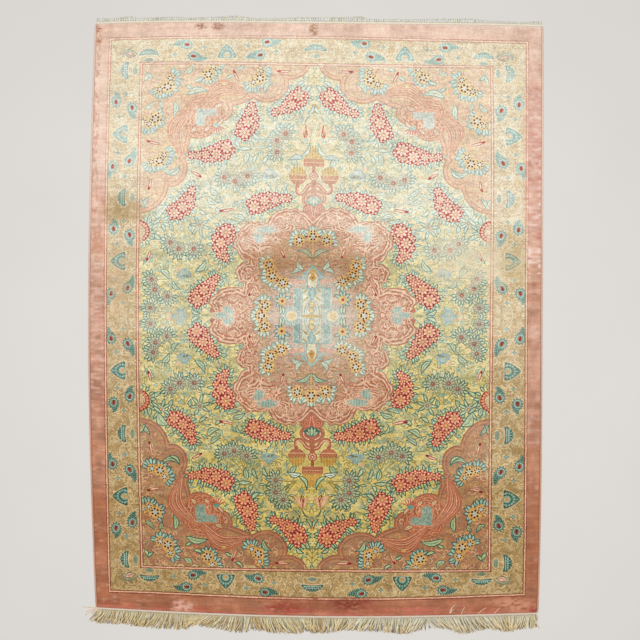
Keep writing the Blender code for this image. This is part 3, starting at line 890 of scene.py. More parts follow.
# rows: the eyes that the scrolls of the rim turn round, their place and how flat they are
SCROLL_EYES = (
    (30, 90, 0.8), (78, 22, 0.8), (60, 84, 0.9), (44.5, 79.5, 1), (84, 0, 1), (64, 44, 0.8), (18, 95, 0.6),
    (66, 62, 0.9), (66, 22, 0.8),
)
medal = lobes_distance(MEDALLION_LOBES) + (noise(SAMPLES, 13, 13, 16) - 0.5) * 3
plain = lobes_distance(((0, 0, 58, 62), (0, 70, 30, 18), (34, 44, 24, 24)))
dye(WHOLE, within(medal), "medallion")
for silk, rows_high, columns_wide, seed, level, gain, most in (
        ("rust", 5, 40, 11, 0.55, 1.6, 0.4), ("gold", 6, 34, 12, 0.55, 1.8, 0.5),
        ("rose pale", 3, 9, 18, 0.55, 2, 0.6), ("brown", 3, 8, 19, 0.58, 2, 0.5),
        ("stone", 4, 14, 20, 0.6, 2, 0.45)):
    wash(silk, rows_high, columns_wide, seed, level, gain, most, within(medal))

# scrolls of the rim: spiral lines round the nearest eye, which follow the lobed edge where they come near it
turns = np.full(SAMPLES, 1e3, np.float32)
for eye_u, eye_v, flat in SCROLL_EYES:
    away = np.hypot(U_ALL - eye_u, (V_ALL - eye_v) / flat)
    turns = np.where(away < turns, away + np.arctan2(V_ALL - eye_v, U_ALL - eye_u) / TURN * 3, turns)
waver = noise(SAMPLES, 26, 26, 13) * 7 + noise(SAMPLES, 10, 10, 15) * 1.6
hug = np.clip((medal + 11) / 4, 0, 1)
turns = (turns + waver) * (1 - hug) + (medal + waver * 0.22) * hug
wave = np.sin(turns * TURN / 3) * 1.8
rim_share = within(medal) * within(-plain, 5)
breaks = noise(SAMPLES, 8, 8, 14)
dye(WHOLE, rim_share * np.clip(wave, 0, 1) * np.clip(0.4 + breaks, 0, 1), "rust")
dye(WHOLE, rim_share * np.clip(-wave, 0, 1) * np.clip(1.35 - breaks, 0, 1), "rose pale")
places = scatter(0, 104, 0, 110, 5.4)
curls(places[(read_at(places, medal) < -3) & (read_at(places, plain) > -4)],
      ("rose pale", "rust", "guard", "rose pale"), 1.4, 3.6, 0.8)
curls(places[read_at(places, plain) <= 0], ("rose pale", "rust", "gold", "medallion", "stone"), 1, 2.8, 0.7)
dye(WHOLE, within(np.abs(medal + 0.4 + (breaks - 0.5) * 1.6) - 0.4) * 0.5, "rust")

# pale blue patches at the sides and in the corners of the medallion, their edges uneven
ragged = (noise(SAMPLES, 3, 3, 30) - 0.5) * 3.4
# rows: place across and down, size across and down, lean
BLUE_PATCHES = (
    (83, 2, 5.4, 7.6, 0), (89.5, 0, 6, 3.4, 0), (52, 81, 5.4, 7.6, 0.1), (45.5, 86.4, 9.4, 3.6, 0.05),
)
for u, v, wide, long, lean in BLUE_PATCHES:
    part, ahead, aside = around(u, v, lean, 14)
    shape = (np.hypot(ahead / wide, aside / long) - 1) * min(wide, long) + ragged[part]
    dye(part, within(shape - 1.4), "rose pale")
    dye(part, within(shape), "corner blue")
    dye(part, within(shape + 0.8) * stripes(ahead, 2.6, 1.6) * 0.8, "light blue")
    dye(part, within(shape + 1) * stripes(ahead, 2.6, -1.4, 0.4) * 0.7, "teal mid")
curls(((44.6, 79.4), (46.5, 77.5), (77, 0), (75.5, 6)), ("rose pale", "cream"), 2.4, 3.4, 0.8)
curls(((44, 79), (47, 80.5), (76, 1.5), (78, 8)), ("rust", "salmon"), 1.6, 2.4, 0.7)
rim_eyes = np.array(((68, 46), (62, 38), (70, 92), (63, 93), (26, 101), (12, 97)))
curls(rim_eyes, ("rose pale",), 3.2, 4.2, 0.9)
curls(rim_eyes + 0.6, ("rust",), 2, 2.8, 0.8)

cloud = noise(SAMPLES, 10, 10, 28)
heart = within(np.hypot((U_ALL - 20) / 24, V_ALL / 40) - 1, 0.5)
dye(WHOLE, heart * np.clip(cloud * 1.6 - 0.4, 0, 0.75), "cloud")
dye(WHOLE, heart * np.clip(0.9 - cloud * 2.4, 0, 0.6), "light blue")

# rows: flowers of a group (across, down, size), then the place of the group's foot
MEDALLION_GROUPS = (
    (((43, 51, 6.2), (40, 40.5, 6.2), (29.5, 34.5, 6)), (22, 56)),
    (((50.5, 0, 6.4), (47, 10.5, 6.2), (47, -10.5, 6.2)), (30, 0)),
    (((14, 75.5, 5.8), (0, 79, 6.4), (-14, 75.5, 5.8)), (0, 52)),
)
for flowers, foot in MEDALLION_GROUPS:
    rosette_group(flowers, foot, spread=0.25, silk="petal", line="petal line")
radiate(((29.5, 15.5),), (22, 6), 3.6, 6, 3.2, "light blue", "teal", spacing=0.62, spread=0.5)
disc(29.5, 15.5, 4.4, "sun")
disc(29.5, 15.5, 1.4, "red")
for u, v in ((7, 79), (20, 72), (35, 36), (43, 45), (50, 5), (52, 15), (24.5, 33)):
    disc(u, v, 1.2, "red", long=0.9)
bird((28, 58.5), (31.5, 66.5))
bird((62.5, 20), (58, 27.5))
stroke(((0, 58), (0, 73)), 1.6, "sun", smooth=False)
leaf((0.6, 58), (15.8, 65.4), 4, "light leaf", "teal", bend=0.2, line_width=0.8)
leaf((9.6, 46.6), (20.6, 42.2), 4, "petal", "petal line", bend=0.16, line_width=0.8)
leaf((8.9, 46.4), (15.1, 56.4), 4.2, "petal", "petal line", bend=-0.16, line_width=0.8)


# ---------------------------------------------------------------- the blue cartouche at the very middle
def box(low_u, high_u, low_v, high_v, silk):
    """A straight-sided patch, the overlap of two bands."""
    part, u, v = patch(low_u - 1, high_u + 1, low_v - 1, high_v + 1)
    dye(part, within(np.maximum(np.maximum(low_u - u, u - high_u), np.maximum(low_v - v, v - high_v))), silk)


for number in range(10):
    disc(hand.uniform(5, 16), hand.uniform(27, 44), 1.9, "light blue" if number % 2 else "cartouche", 1.1,
         hand.uniform(0, 3))
stroke(((6.9, 28), (5.6, 33.5), (11, 36.8), (6.4, 41), (3.8, 46), (0, 50)), 2.2, "cartouche")
stroke(((6.9, 28), (5.6, 33.5), (10.6, 36.8), (6.4, 40.6), (3.8, 45.4), (0, 49.4)), 0.9, "light blue")
disc(0, 35, 4.4, "heart", long=9.5)
disc(0, 44, 2.6, "sun", long=3.6)
stroke(((0, 34.4), (3, 38), (0, 41.8)), 1.2, "vase", smooth=False)
disc(0, 38, 2.4, "vase", long=3.2)
disc(0, 38, 1.1, "brown", long=1.2)
for number in range(4):
    stroke(((5.6, 37 + number * 0.7), (9.5, 36 + number * 0.9)), 0.5, "light blue", smooth=False)
box(-1, 18.2, -1, 27.6, "teal mid")
box(-1, 17.6, -1, 27, "cartouche")
for u, v in scatter(10.6, 17.4, 0.4, 26.6, 2.1):
    lean = hand.uniform(-0.6, 0.6) + (1.57 if hand.random() < 0.4 else 0)
    silk = ("pearl", "teal mid", "light blue", "teal mid", "pearl", "petal line")[hand.integers(6)]
    stroke((outward(u, v, lean, -1.1), outward(u, v, lean, 1.1)), 0.8, silk, smooth=False)
for height in np.arange(0.8, 27, 1.9):
    disc(17.9, height, 0.6, "pearl", 0.9)
    disc(10.2, height + 0.9, 0.6, "pearl", 0.9)
box(-1, 9, -1, 26.6, "heart")
for wide, long, silk in ((7.8, 16.6, "cartouche"), (7, 15.8, "heart"), (5.4, 14.4, "light blue"),
                         (4.4, 13.4, "heart")):
    disc(0, 0, wide, silk, long)
for height, wide in ((0, 2.4), (5.6, 2.2), (11, 2.8)):
    for size, silk in ((wide + 0.8, "cartouche"), (wide + 0.1, "sun"), (wide * 0.6, "cream")):
        disc(0, height, size, silk)
stroke(((0, 0), (8.2, 0)), 2.8, "gold", 1.6, smooth=False)
for aside in (3.2, 5.4, 7.4):
    disc(aside, 0, 0.7, "vase")
disc(0, 0, 2.2, "sun")
disc(0, 0, 1.2, "olive")
leaf((0, 28.5), (0, 14.8), 7.6, "cartouche", "teal mid", line_width=0.5)
leaf((0, 26.5), (0, 16.5), 3.6, "light blue", "cartouche", line_width=0.5)
for number in range(3):
    stroke(((0.6, 24.5 - number * 2.4), (3.6, 25.8 - number * 2.4)), 0.5, "teal mid", smooth=False)
for foot, tip in (((3.4, 18.6), (8.2, 14.6)), ((4.4, 26.4), (8.6, 22.6))):
    leaf(foot, tip, 2, "gold", "petal line", line_width=0.4)
for number in range(26):
    bearing = number * TURN / 26
    wreath(19.7, 0, 1, bearing, ((9.2, 1.2, 0.8, "pearl"), (7.4, 1.2, 0.8, "light blue")))
    disc(*outward(19.7, 0, bearing + 0.12, 10.6), 0.9, "cartouche", 0.5, bearing)
disc(19.7, 0, 7, "light blue")
ring(19.7, 0, 6.4, 0.7, "cartouche")
disc(19.7, 0, 5.6, "cream")
disc(19.7, 0, 3.4, "floret", 3.2)
ring(19.7, 0, 2.4, 0.6, "sun")
disc(19.7, 0, 1, "stone")
for u, v in ((11.1, 34), (18, 35)):
    disc(u, v, 4.6, "cheek", 2.8)
    ring(u, v, 1.8, 0.6, "rose", -2.5, 1.5)
for u in (28.4, 31.2):
    for way in (-1, 1):
        leaf((u, way * 1.5), (u + 1.6, way * 11.5), 2.6, "light leaf", "teal", way * 0.1, 0.7)


# ---------------------------------------------------------------- main border
def border_places(inset, pitch):
    """Scattered places along the side border and then along the end border, so far in from its lines."""
    return np.vstack([scatter(INNER_GUARD_U + inset, OUTER_GUARD_U - inset, 0, OUTER_GUARD_V - inset, pitch),
                      scatter(0, INNER_GUARD_U, INNER_GUARD_V + inset, OUTER_GUARD_V - inset, pitch)])


border = ((U_ALL > INNER_GUARD_U) | (V_ALL > INNER_GUARD_V)).astype(np.float32)
dye(WHOLE, border, "gold")
wash("cream", 12, 12, 21, 0.5, 1.6, 0.55, border)
wash("tan", 10, 10, 22, 0.6, 1.2, 0.2, border)
wash("rose pale", 7, 7, 23, 0.62, 2, 0.3, border)
scrolls = border_places(0, 4.4)
curls(scrolls, ("gold shade", "gold shade", "tan", "gold"), 1.8, 4.2, 0.9)
scrolls = scrolls + hand.uniform(-1, 1, scrolls.shape)
plumes(scrolls[::2], ("gold light", "gold light", "cream", "gold shade", "gold light", "gold"), 5.6, 1.1)
plumes(scrolls[1::3], ("gold light", "tan", "gold shade", "gold light"), 4.6, 0.9)
curls(border_places(3, 8.6), ("cream", "gold light", "cream", "gold shade"), 3, 5.6, 1.3)

# rows of a repeat: kind, place across and down, and for a drop its tail's place
SIDE_REPEAT = (
    ("boteh", 199, 22.5, 201, 10.5), ("boteh", 182.5, 28, 177.5, 41), ("palmette", 190.8, 55),
    ("boteh", 181, 81, 177.5, 69.5), ("boteh", 197, 87.5, 198, 98), ("crescent", 188.9, 118.5),
    ("dot", 187, 13), ("dot", 194, 36.5), ("dot", 193.5, 72.5), ("dot", 187, 95),
)
SIDE_REPEAT_LONG = 127
END_REPEAT = (
    ("boteh", 121, 259.5, 107, 257.5), ("boteh", 128, 272, 142, 271.5), ("palmette", 88, 263.5),
    ("boteh", 55, 261, 69.5, 257), ("boteh", 48, 274.5, 34, 276.5), ("crescent", 165.5, 264),
    ("dot", 140, 261.5), ("dot", 110, 269), ("dot", 67, 271), ("dot", 39, 265),
    ("lotus", 0, 269),
)
BORDER_FLOWERS = {
    "boteh": boteh,
    "palmette": lambda u, v: palmette(u, v, QUARTER if v > INNER_GUARD_V else 0),
    "crescent": lambda u, v: (crescent(u, v, QUARTER, 10, 3.9, 8.1) if v > INNER_GUARD_V
                              else crescent(u, v, 0)),
    "lotus": lambda u, v: crescent(u, v, QUARTER, 11, 3.9, 8.1),
    "dot": cross_mark,
}
for drop, repeat in ((0, SIDE_REPEAT), (SIDE_REPEAT_LONG, SIDE_REPEAT), (0, END_REPEAT)):
    for kind, u, v, *tail in repeat:
        if tail:
            tail = (tail[0], tail[1] + drop)
        BORDER_FLOWERS[kind](u, v + drop, *tail)
stroke(((191, 261), (189.5, 266.5), (184.5, 267), (177.5, 263)), 2.2, "petal line", 1.6)
stroke(((190.6, 261.4), (189, 265.8), (184.5, 266.2), (178, 262.8)), 0.9, "stone", 0.6)
leaf((189, 264.4), (179, 261), 5, "cheek", "stone line", bend=0.12)
disc(184, 263, 2.4, "rose pale", 1.2, 0.3)

# plain band, and the fine lines each side of the border
dye(WHOLE, ((U_ALL > OUTER_GUARD_U) | (V_ALL > OUTER_GUARD_V)).astype(np.float32), "band")
wobble = (noise(SAMPLES, 5, 5, 24) - 0.5) * 0.5
for line_u, line_v in ((INNER_GUARD_U, INNER_GUARD_V), (OUTER_GUARD_U, OUTER_GUARD_V)):
    from_line = np.abs(np.maximum(U_ALL - line_u, V_ALL - line_v) + wobble)
    dye(WHOLE, within(from_line - 1.6) * 0.85, "guard edge")
    dye(WHOLE, within(from_line - 0.62, 0.7), "guard")


# ---------------------------------------------------------------- the rug's shape
def read_edge(rows, share):
    """How far an edge lies from the middle: the one polynomial that passes through all its rows."""
    table = np.array(rows)
    return np.polyval(np.polyfit(table[:, 0], table[:, 1], len(table) - 1), share)


def rug_point(across, along):
    """Where a share across and a share along the rug lie on the floor."""
    x = across * read_edge(RIGHT_EDGE, along) - (1 - across) * read_edge(LEFT_EDGE, along)
    y = along * read_edge(FAR_EDGE, across) - (1 - along) * read_edge(NEAR_EDGE, across)
    return x, y


def ripple(across, along):
    """Low waves of the cloth: sines of the way along and across, nothing at the edges."""
    total = 0
    for waves_along, waves_across, share in RIPPLE_WAVES:
        total = total + share * np.sin(waves_along * along + waves_across * across)
    return RIPPLE * np.sin(math.pi * across) * np.sin(math.pi * along) * total


def line_at(stations, share):
    """Where a line of the drawing lies at a share of its length: the polynomial through its stations."""
    return np.polyval(np.polyfit(STATIONS, stations, 4), share)


def between(value, places, marks):
    """Reads a place on the drawing from a place on the rug, straight between one line and the next."""
    result = np.full(value.shape, marks[-1], np.float32)
    for low, high, mark_low, mark_high in zip(places[:-1], places[1:], marks[:-1], marks[1:]):
        share = (value - low) / (high - low)
        result = np.where((share >= 0) & (share <= 1), mark_low + share * (mark_high - mark_low), result)
    return np.where(value < places[0], marks[0], result)


# ---------------------------------------------------------------- knots of the whole rug
CELLS_ACROSS = 264           # faces across the pile; each shows four by four knots
CELLS_ALONG = 350
KNOTS = 4
KNOT_GRID = (CELLS_ALONG * KNOTS, CELLS_ACROSS * KNOTS)
knot_along = ((np.arange(KNOT_GRID[0]) + 0.5) / KNOT_GRID[0])[:, None]
knot_across = ((np.arange(KNOT_GRID[1]) + 0.5) / KNOT_GRID[1])[None, :]
knot_x, knot_y = rug_point(knot_across, knot_along)

left_edge = -read_edge(LEFT_EDGE, knot_along)
near_edge = -read_edge(NEAR_EDGE, knot_across)
left_line = line_at(LEFT_OUTER_LINE, knot_along)
right_line = line_at(RIGHT_OUTER_LINE, knot_along)
columns = (left_edge, left_line, line_at(LEFT_INNER_LINE, knot_along), line_at(LONG_AXIS, knot_along),
           line_at(RIGHT_INNER_LINE, knot_along), right_line, read_edge(RIGHT_EDGE, knot_along))
rows = (near_edge, line_at(NEAR_OUTER_LINE, knot_across), line_at(NEAR_INNER_LINE, knot_across),
        line_at(MIDDLE_LINE, knot_across), line_at(FAR_INNER_LINE, knot_across),
        line_at(FAR_OUTER_LINE, knot_across), read_edge(FAR_EDGE, knot_across))
place_u = between(knot_x, columns,
                  (-SIDE_U, -OUTER_GUARD_U, -INNER_GUARD_U, 0, INNER_GUARD_U, OUTER_GUARD_U, SIDE_U))
place_v = between(knot_y, rows,
                  (-END_V, -OUTER_GUARD_V, -INNER_GUARD_V, 0, INNER_GUARD_V, OUTER_GUARD_V, END_V))

# the weaver's unevenness: the drawing drifts by about a square from quarter to quarter
drift_u = (noise(KNOT_GRID, 90, 70, 31) - 0.5) * 2.4
drift_v = (noise(KNOT_GRID, 70, 90, 32) - 0.5) * 2.4
inside = (np.abs(place_u) < INNER_GUARD_U - 3) & (np.abs(place_v) < INNER_GUARD_V - 3)
read_u = np.clip(np.abs(place_u + drift_u * inside) * FINE - 0.5, 0, SAMPLES[1] - 1.001)
read_v = np.clip(np.abs(place_v + drift_v * inside) * FINE - 0.5, 0, SAMPLES[0] - 1.001)

# each knot's silk: the drawing at its place, mixed from the four nearest samples
column = read_u.astype(int)
row = read_v.astype(int)
aside = (read_u - column)[..., None]
ahead = (read_v - row)[..., None]
upper = drawing[row, column] * (1 - aside) + drawing[row, column + 1] * aside
lower = drawing[row + 1, column] * (1 - aside) + drawing[row + 1, column + 1] * aside
both = upper * (1 - ahead) + lower * ahead

# painted sheen along the rug, how deep the silk looks: rows are metres along, then 0 pale to 1 deep
SHEEN_ALONG = (
    (-0.95, 1.02), (-0.72, 1.07), (-0.6, 1.09), (-0.48, 0.99), (-0.36, 0.9), (-0.26, 0.86), (-0.14, 0.74),
    (-0.05, 0.58), (0.03, 0.48), (0.11, 0.48), (0.18, 0.44), (0.24, 0.31), (0.32, 0.1), (0.45, 0.03),
    (0.6, 0.01), (0.75, 0.05), (0.88, 0.07), (0.95, 0.1),
)
# painted sheen of the plain bands: rows are metres along, then how much deeper the left and the right plain
# band look than the rest
BAND_SHEEN = (
    (-0.8, 0, 0), (-0.55, -0.04, -0.06), (-0.28, -0.16, -0.16), (-0.1, -0.03, -0.13), (0.08, 0, 0.18),
    (0.25, 0.04, 0.12), (0.42, 0.02, 0.2), (0.62, -0.02, 0.28), (0.76, 0, 0.18), (0.84, 0, 0),
)
# patches of deeper painted sheen: rows are a deeper patch's place across and along, its half width and half
# length, and how much deeper it looks
SHEEN_PATCHES = (
    (-0.02, 0.188, 0.18, 0.032, 0.3), (-0.13, 0.16, 0.062, 0.055, 0.34), (0.1, 0.16, 0.062, 0.055, 0.4),
    (-0.01, 0.255, 0.085, 0.034, 0.42), (0.12, 0.095, 0.06, 0.04, 0.14), (0.22, 0.17, 0.03, 0.06, 0.2),
    (0.59, 0.19, 0.034, 0.075, 0.34), (-0.585, 0.345, 0.06, 0.055, 0.5), (-0.59, 0.07, 0.045, 0.11, 0.18),
    (0.49, -0.36, 0.07, 0.06, -0.14),
)


def painted_sheen_depth(along):
    """The painted sheen at a place along the rug: how deep the silk looks, straight from row to row."""
    return np.interp(along, *np.array(SHEEN_ALONG).T)


def uneven(rows_high, columns_wide, seed, amount):
    """Unevenness of the knots with a mean of nothing, up to so much either way."""
    return (noise(KNOT_GRID, rows_high, columns_wide, seed) - 0.5) * 2 * amount


def patchy(rows_high, columns_wide, seed, gain, level):
    """Patches of knots from 0 to 1: unevenness times a gain, less a level."""
    return np.clip(noise(KNOT_GRID, rows_high, columns_wide, seed) * gain - level, 0, 1)


def softened(values, rounds):
    """Each knot mixed with its neighbours by shares of 1 4 6 4 1, along and across, some rounds over."""
    for _ in range(rounds):
        for axis in (0, 1):
            total = values * 6
            for step, share in ((1, 4), (2, 1)):
                total = total + share * (np.roll(values, step, axis) + np.roll(values, -step, axis))
            values = total / 16
    return values


def tinge(share, shade):
    """Pulls every knot towards one shade by its own share."""
    colours[...] += share[..., None] * (np.array(shade) / 255 - colours)


# painted sheen on the knots: each knot's share of the deep copy over the pale one, by its place along the
# rug, with streaky unevenness, the plain bands' rows and the deeper patches
band_along, left_deeper, right_deeper = np.array(BAND_SHEEN).T
left_share = np.clip((left_line - knot_x) / 0.006, 0, 1)
right_share = np.clip((knot_x - right_line) / 0.006, 0, 1)
deep = painted_sheen_depth(knot_y) + uneven(26, 240, 41, 0.08) + uneven(7, 130, 42, 0.06)
deep = deep + uneven(60, 60, 43, 0.08) + left_share * np.interp(knot_y, band_along, left_deeper)
deep = deep + right_share * np.interp(knot_y, band_along, right_deeper)
for x, y, wide, long, amount in SHEEN_PATCHES:
    deep = deep + amount * np.exp(-((knot_x - x) / wide) ** 2 - ((knot_y - y) / long) ** 2)
deep = np.clip(deep, 0, 1.12)[..., None]
colours = both[..., :3] * (1 - deep) + both[..., 3:] * deep

# painted shade and light at each colour's edge, as of pile clipped round each colour: each knot is pushed
# away from its neighbours' mean, so edges stand out against what lies beside them
colours = colours + 0.65 * (colours - softened(colours, 3))
deep = deep[..., 0]
# painted sheen: a pale haze over the paler part of the rug, fading out where the silk looks deep
tinge(0.24 * np.clip(1 - deep * 1.8, 0, 1), (239, 219, 193))

# the silk's shine: streaks of knots lie another way, so they look paler or deeper than their neighbours
on_band = (np.abs(place_u) > OUTER_GUARD_U + 1.5) | (np.abs(place_v) > OUTER_GUARD_V + 1.5)
drawn = 1 - 0.6 * on_band
shine = uneven(2.2, 2.2, 64, 0.09) * drawn
for streak in ((3, 16, 44, 0.03), (2, 5, 45, 0.03), (9, 60, 46, 0.03), (14, 4, 47, 0.025),
               (30, 30, 48, 0.02)):
    shine = shine + uneven(*streak)
colours *= (1 + shine)[..., None]

# the plain band: pale scuffs, dull patches, blotches, and a blush along the near end
tinge(patchy(5, 14, 49, 1.6, 0.9) * patchy(60, 40, 50, 2.4, 0.7) * on_band * 0.55, (236, 196, 178))
tinge(patchy(16, 10, 63, 1.8, 1.05) * on_band * np.clip(deep * 1.6, 0.15, 1) * 0.35, (150, 84, 58))
blotch = (uneven(34, 16, 65, 0.075) + uneven(9, 22, 66, 0.05)) * on_band
colours *= (1 + blotch * (0.35 + 0.65 * np.minimum(deep * 2, 1)))[..., None]
from_near = knot_y - near_edge
tinge(np.clip(1 - from_near / 0.03, 0, 1) * patchy(9, 26, 69, 2.6, 0.9) * 0.45, (176, 72, 60))

# wear along both sides, brown flecks down the left edge and a pink strip along the near one
worn = right_share * np.interp(knot_y, (0.05, 0.2, 0.45, 0.6, 0.84), (0, 1.2, 1.2, 0.8, 0))
worn = worn + 0.45 * left_share * np.interp(knot_y, (-0.35, -0.2, 0.6, 0.75), (0, 1, 1, 0))
tinge(worn * patchy(5, 16, 33, 3.4, 1.7) * 0.8, (250, 220, 210))
tinge(worn * patchy(14, 16, 34, 3.4, 1.9) * 0.5, (190, 112, 96))
rubbed = (knot_x < left_edge + 0.016) * np.clip((knot_y + 0.05) * 2, 0, 1)
tinge(rubbed * patchy(7, 4, 67, 2.4, 1.15) * 0.38, (170, 104, 78))
tinge(np.clip(1 - from_near / 0.01, 0, 1) * patchy(4, 18, 68, 2, 0) * 0.6, (218, 138, 118))
grain = hand.normal(0, 0.05, KNOT_GRID + (1,)) * drawn[..., None]
grain = grain + hand.normal(0, 0.01, (KNOT_GRID[0], 1, 1))
colours *= 1 + grain + hand.normal(0, 0.015, KNOT_GRID + (3,))


def stain_and_sheen_patch(x, y, wide, long, shade, strength, seed):
    """A worn or stained patch, or a pale patch of painted sheen: a soft oval broken up by unevenness, pulled
    towards one shade.
    """
    share = np.clip(1.35 - np.hypot((knot_x - x) / wide, (knot_y - y) / long), 0, 1)
    small = min(max(min(wide, long) / 0.0048, 2.4), 9)
    rough = noise(KNOT_GRID, small, small * 1.7, seed)
    tinge(np.clip(share * (2.1 * rough - 0.2), 0, 1) * strength, shade)


def glint(x, y, wide, long, strength, seed):
    """A patch where the pile lies the other way: many short pale dashes over what is there."""
    share = np.clip(1.3 - np.hypot((knot_x - x) / wide, (knot_y - y) / long), 0, 1)
    dashes = np.maximum(patchy(2, 4, seed, 3.4, 1.5), patchy(5, 2, seed + 1, 3.4, 2))
    tinge(share * (0.25 + 0.75 * dashes) * strength, (240, 228, 206))


# rows: place across and along, size across and along, strength, seed
GLINTS = (
    (-0.58, 0.08, 0.05, 0.11, 0.22, 91), (0.47, 0.195, 0.15, 0.075, 0.55, 93),
    (0.06, 0.02, 0.07, 0.12, 0.35, 95), (-0.6, 0.6, 0.05, 0.16, 0.2, 97), (0.5, 0.02, 0.11, 0.06, 0.3, 99),
    (-0.45, 0.02, 0.12, 0.06, 0.3, 101), (0.16, -0.06, 0.12, 0.07, 0.3, 103),
    (0.59, -0.08, 0.03, 0.08, 0.35, 105), (-0.648, 0.18, 0.02, 0.03, 0.45, 107),
    (-0.003, 0.395, 0.045, 0.06, 0.42, 109),
)
for row in GLINTS:
    glint(*row)

# rows: place across and along, size across and along, shade, strength, seed; the rows with seeds 76 and 78
# are pale patches of painted sheen
STAIN_AND_SHEEN_PATCHES = (
    (-0.105, 0.193, 0.062, 0.028, (176, 124, 84), 0.4, 71),
    (0.095, 0.196, 0.055, 0.025, (178, 128, 88), 0.36, 72),
    (-0.58, 0.345, 0.06, 0.05, (176, 146, 104), 0.5, 81),
    (-0.655, 0.25, 0.018, 0.06, (196, 138, 104), 0.55, 82),
    (-0.098, -0.847, 0.052, 0.016, (156, 58, 36), 0.85, 83),
    (0.3, -0.852, 0.12, 0.008, (224, 118, 104), 0.5, 84),
    (-0.19, 0.205, 0.035, 0.016, (176, 128, 86), 0.42, 73),
    (0.15, -0.838, 0.06, 0.02, (160, 84, 66), 0.45, 74),
    (0.4, -0.838, 0.11, 0.018, (162, 92, 72), 0.35, 75),
    (-0.6, 0.06, 0.03, 0.11, (236, 208, 180), 0.45, 76),
    (-0.585, 0.14, 0.03, 0.1, (196, 164, 126), 0.4, 77), (0.5, 0.17, 0.16, 0.07, (232, 216, 186), 0.45, 78),
    (-0.655, -0.02, 0.02, 0.05, (232, 186, 162), 0.6, 79),
    (0.655, -0.02, 0.02, 0.03, (236, 196, 178), 0.55, 80),
    (0.655, 0.58, 0.03, 0.15, (198, 128, 112), 0.55, 85),
    (0.655, 0.38, 0.03, 0.12, (202, 138, 118), 0.5, 86),
    (0.655, 0.24, 0.03, 0.06, (236, 196, 176), 0.4, 87),
    (0.655, 0.56, 0.022, 0.2, (244, 214, 200), 0.45, 88),
    (0.02, 0.225, 0.085, 0.03, (178, 132, 88), 0.28, 51),
    (-0.1, 0.235, 0.05, 0.022, (190, 150, 100), 0.4, 52),
    (-0.345, 0.898, 0.018, 0.009, (150, 100, 80), 0.7, 53),
    (-0.292, 0.897, 0.02, 0.011, (156, 106, 86), 0.65, 54),
    (-0.006, 0.888, 0.014, 0.018, (158, 110, 80), 0.7, 55),
    (-0.656, 0.888, 0.01, 0.01, (150, 70, 48), 0.65, 56),
    (-0.652, 0.85, 0.008, 0.01, (170, 100, 74), 0.5, 57),
    (-0.08, -0.838, 0.08, 0.022, (150, 78, 62), 0.42, 58),
    (0.08, -0.842, 0.085, 0.022, (150, 76, 60), 0.42, 59),
    (0.652, -0.853, 0.012, 0.01, (160, 54, 42), 0.85, 60),
    (-0.045, -0.856, 0.05, 0.006, (190, 84, 80), 0.6, 90),
    (-0.003, -0.816, 0.01, 0.008, (140, 70, 36), 0.7, 91),
    (0.104, -0.836, 0.055, 0.016, (124, 48, 28), 0.8, 93),
    (-0.003, -0.852, 0.05, 0.01, (150, 80, 58), 0.45, 94),
    (-0.01, -0.838, 0.055, 0.012, (140, 76, 46), 0.35, 95),
    (0.207, -0.838, 0.05, 0.012, (150, 92, 62), 0.4, 96),
    (0.59, -0.838, 0.07, 0.022, (218, 156, 130), 0.75, 97),
    (0.415, -0.842, 0.06, 0.012, (196, 138, 112), 0.35, 98),
    (0.588, 0.195, 0.034, 0.07, (200, 168, 112), 0.28, 92),
    (-0.4, -0.842, 0.036, 0.02, (234, 186, 172), 0.75, 61),
    (-0.56, -0.6, 0.012, 0.012, (190, 150, 120), 0.3, 62),
)
for row in STAIN_AND_SHEEN_PATCHES:
    stain_and_sheen_patch(*row)


def to_light(colour):
    """Turns screen colour values into amounts of light by the standard screen curve."""
    colour = np.asarray(colour, np.float32)
    return np.where(colour <= 0.04045, colour / 12.92, ((colour + 0.055) / 1.055) ** 2.4)


knot_light = to_light(np.clip(colours, 0.01, 0.985))


# ---------------------------------------------------------------- mesh tools
def make_piece(name, points, faces, material):
    """Puts points and lists of faces of one size each into a new mesh object at the origin."""
    mesh = bpy.data.meshes.new(name)
    sizes = np.concatenate([np.full(len(block), block.shape[1]) for block in faces])
    corners = np.concatenate([block.ravel() for block in faces]).astype(np.int32)
    starts = np.concatenate([[0], np.cumsum(sizes)[:-1]]).astype(np.int32)
    mesh.vertices.add(len(points))
    mesh.vertices.foreach_set("co", np.ascontiguousarray(points, np.float32).ravel())
    mesh.loops.add(len(corners))
    mesh.loops.foreach_set("vertex_index", corners)
    mesh.polygons.add(len(sizes))
    mesh.polygons.foreach_set("loop_start", starts)
    mesh.update(calc_edges=True)
    mesh.validate()
    piece = bpy.data.objects.new(name, mesh)
    bpy.context.scene.collection.objects.link(piece)
    mesh.materials.append(material)
    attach(piece, "root")
    return piece


def set_face_colours(mesh, name, values):
    """Stores one colour for each face."""
    layer = mesh.attributes.new(name, "FLOAT_COLOR", "FACE")
    full = np.ones((len(values), 4), np.float32)
    full[:, :3] = values
    layer.data.foreach_set("color", full.ravel())


def set_uv(mesh, name, values):
    """Stores one map place for each face corner."""
    layer = mesh.uv_layers.new(name=name)
    layer.data.foreach_set("uv", np.ascontiguousarray(values, np.float32).ravel())


def smooth_faces(mesh):
    """Shades every face smoothly into its neighbours."""
    mesh.polygons.foreach_set("use_smooth", np.ones(len(mesh.polygons), bool))


def map_corners(*corners):
    """Map places of many faces: for each corner in turn, how far across and along it lies on each face."""
    return np.stack([np.stack(np.broadcast_arrays(*corner), -1) for corner in corners], -2).reshape(-1, 2)


def band_corners(order):
    """Corners of the faces between rings: two neighbours on one ring, then the two above them, backwards."""
    lower = order[..., :-1, :]
    upper = order[..., 1:, :]
    return lower, np.roll(lower, -1, -1), np.roll(upper, -1, -1), upper


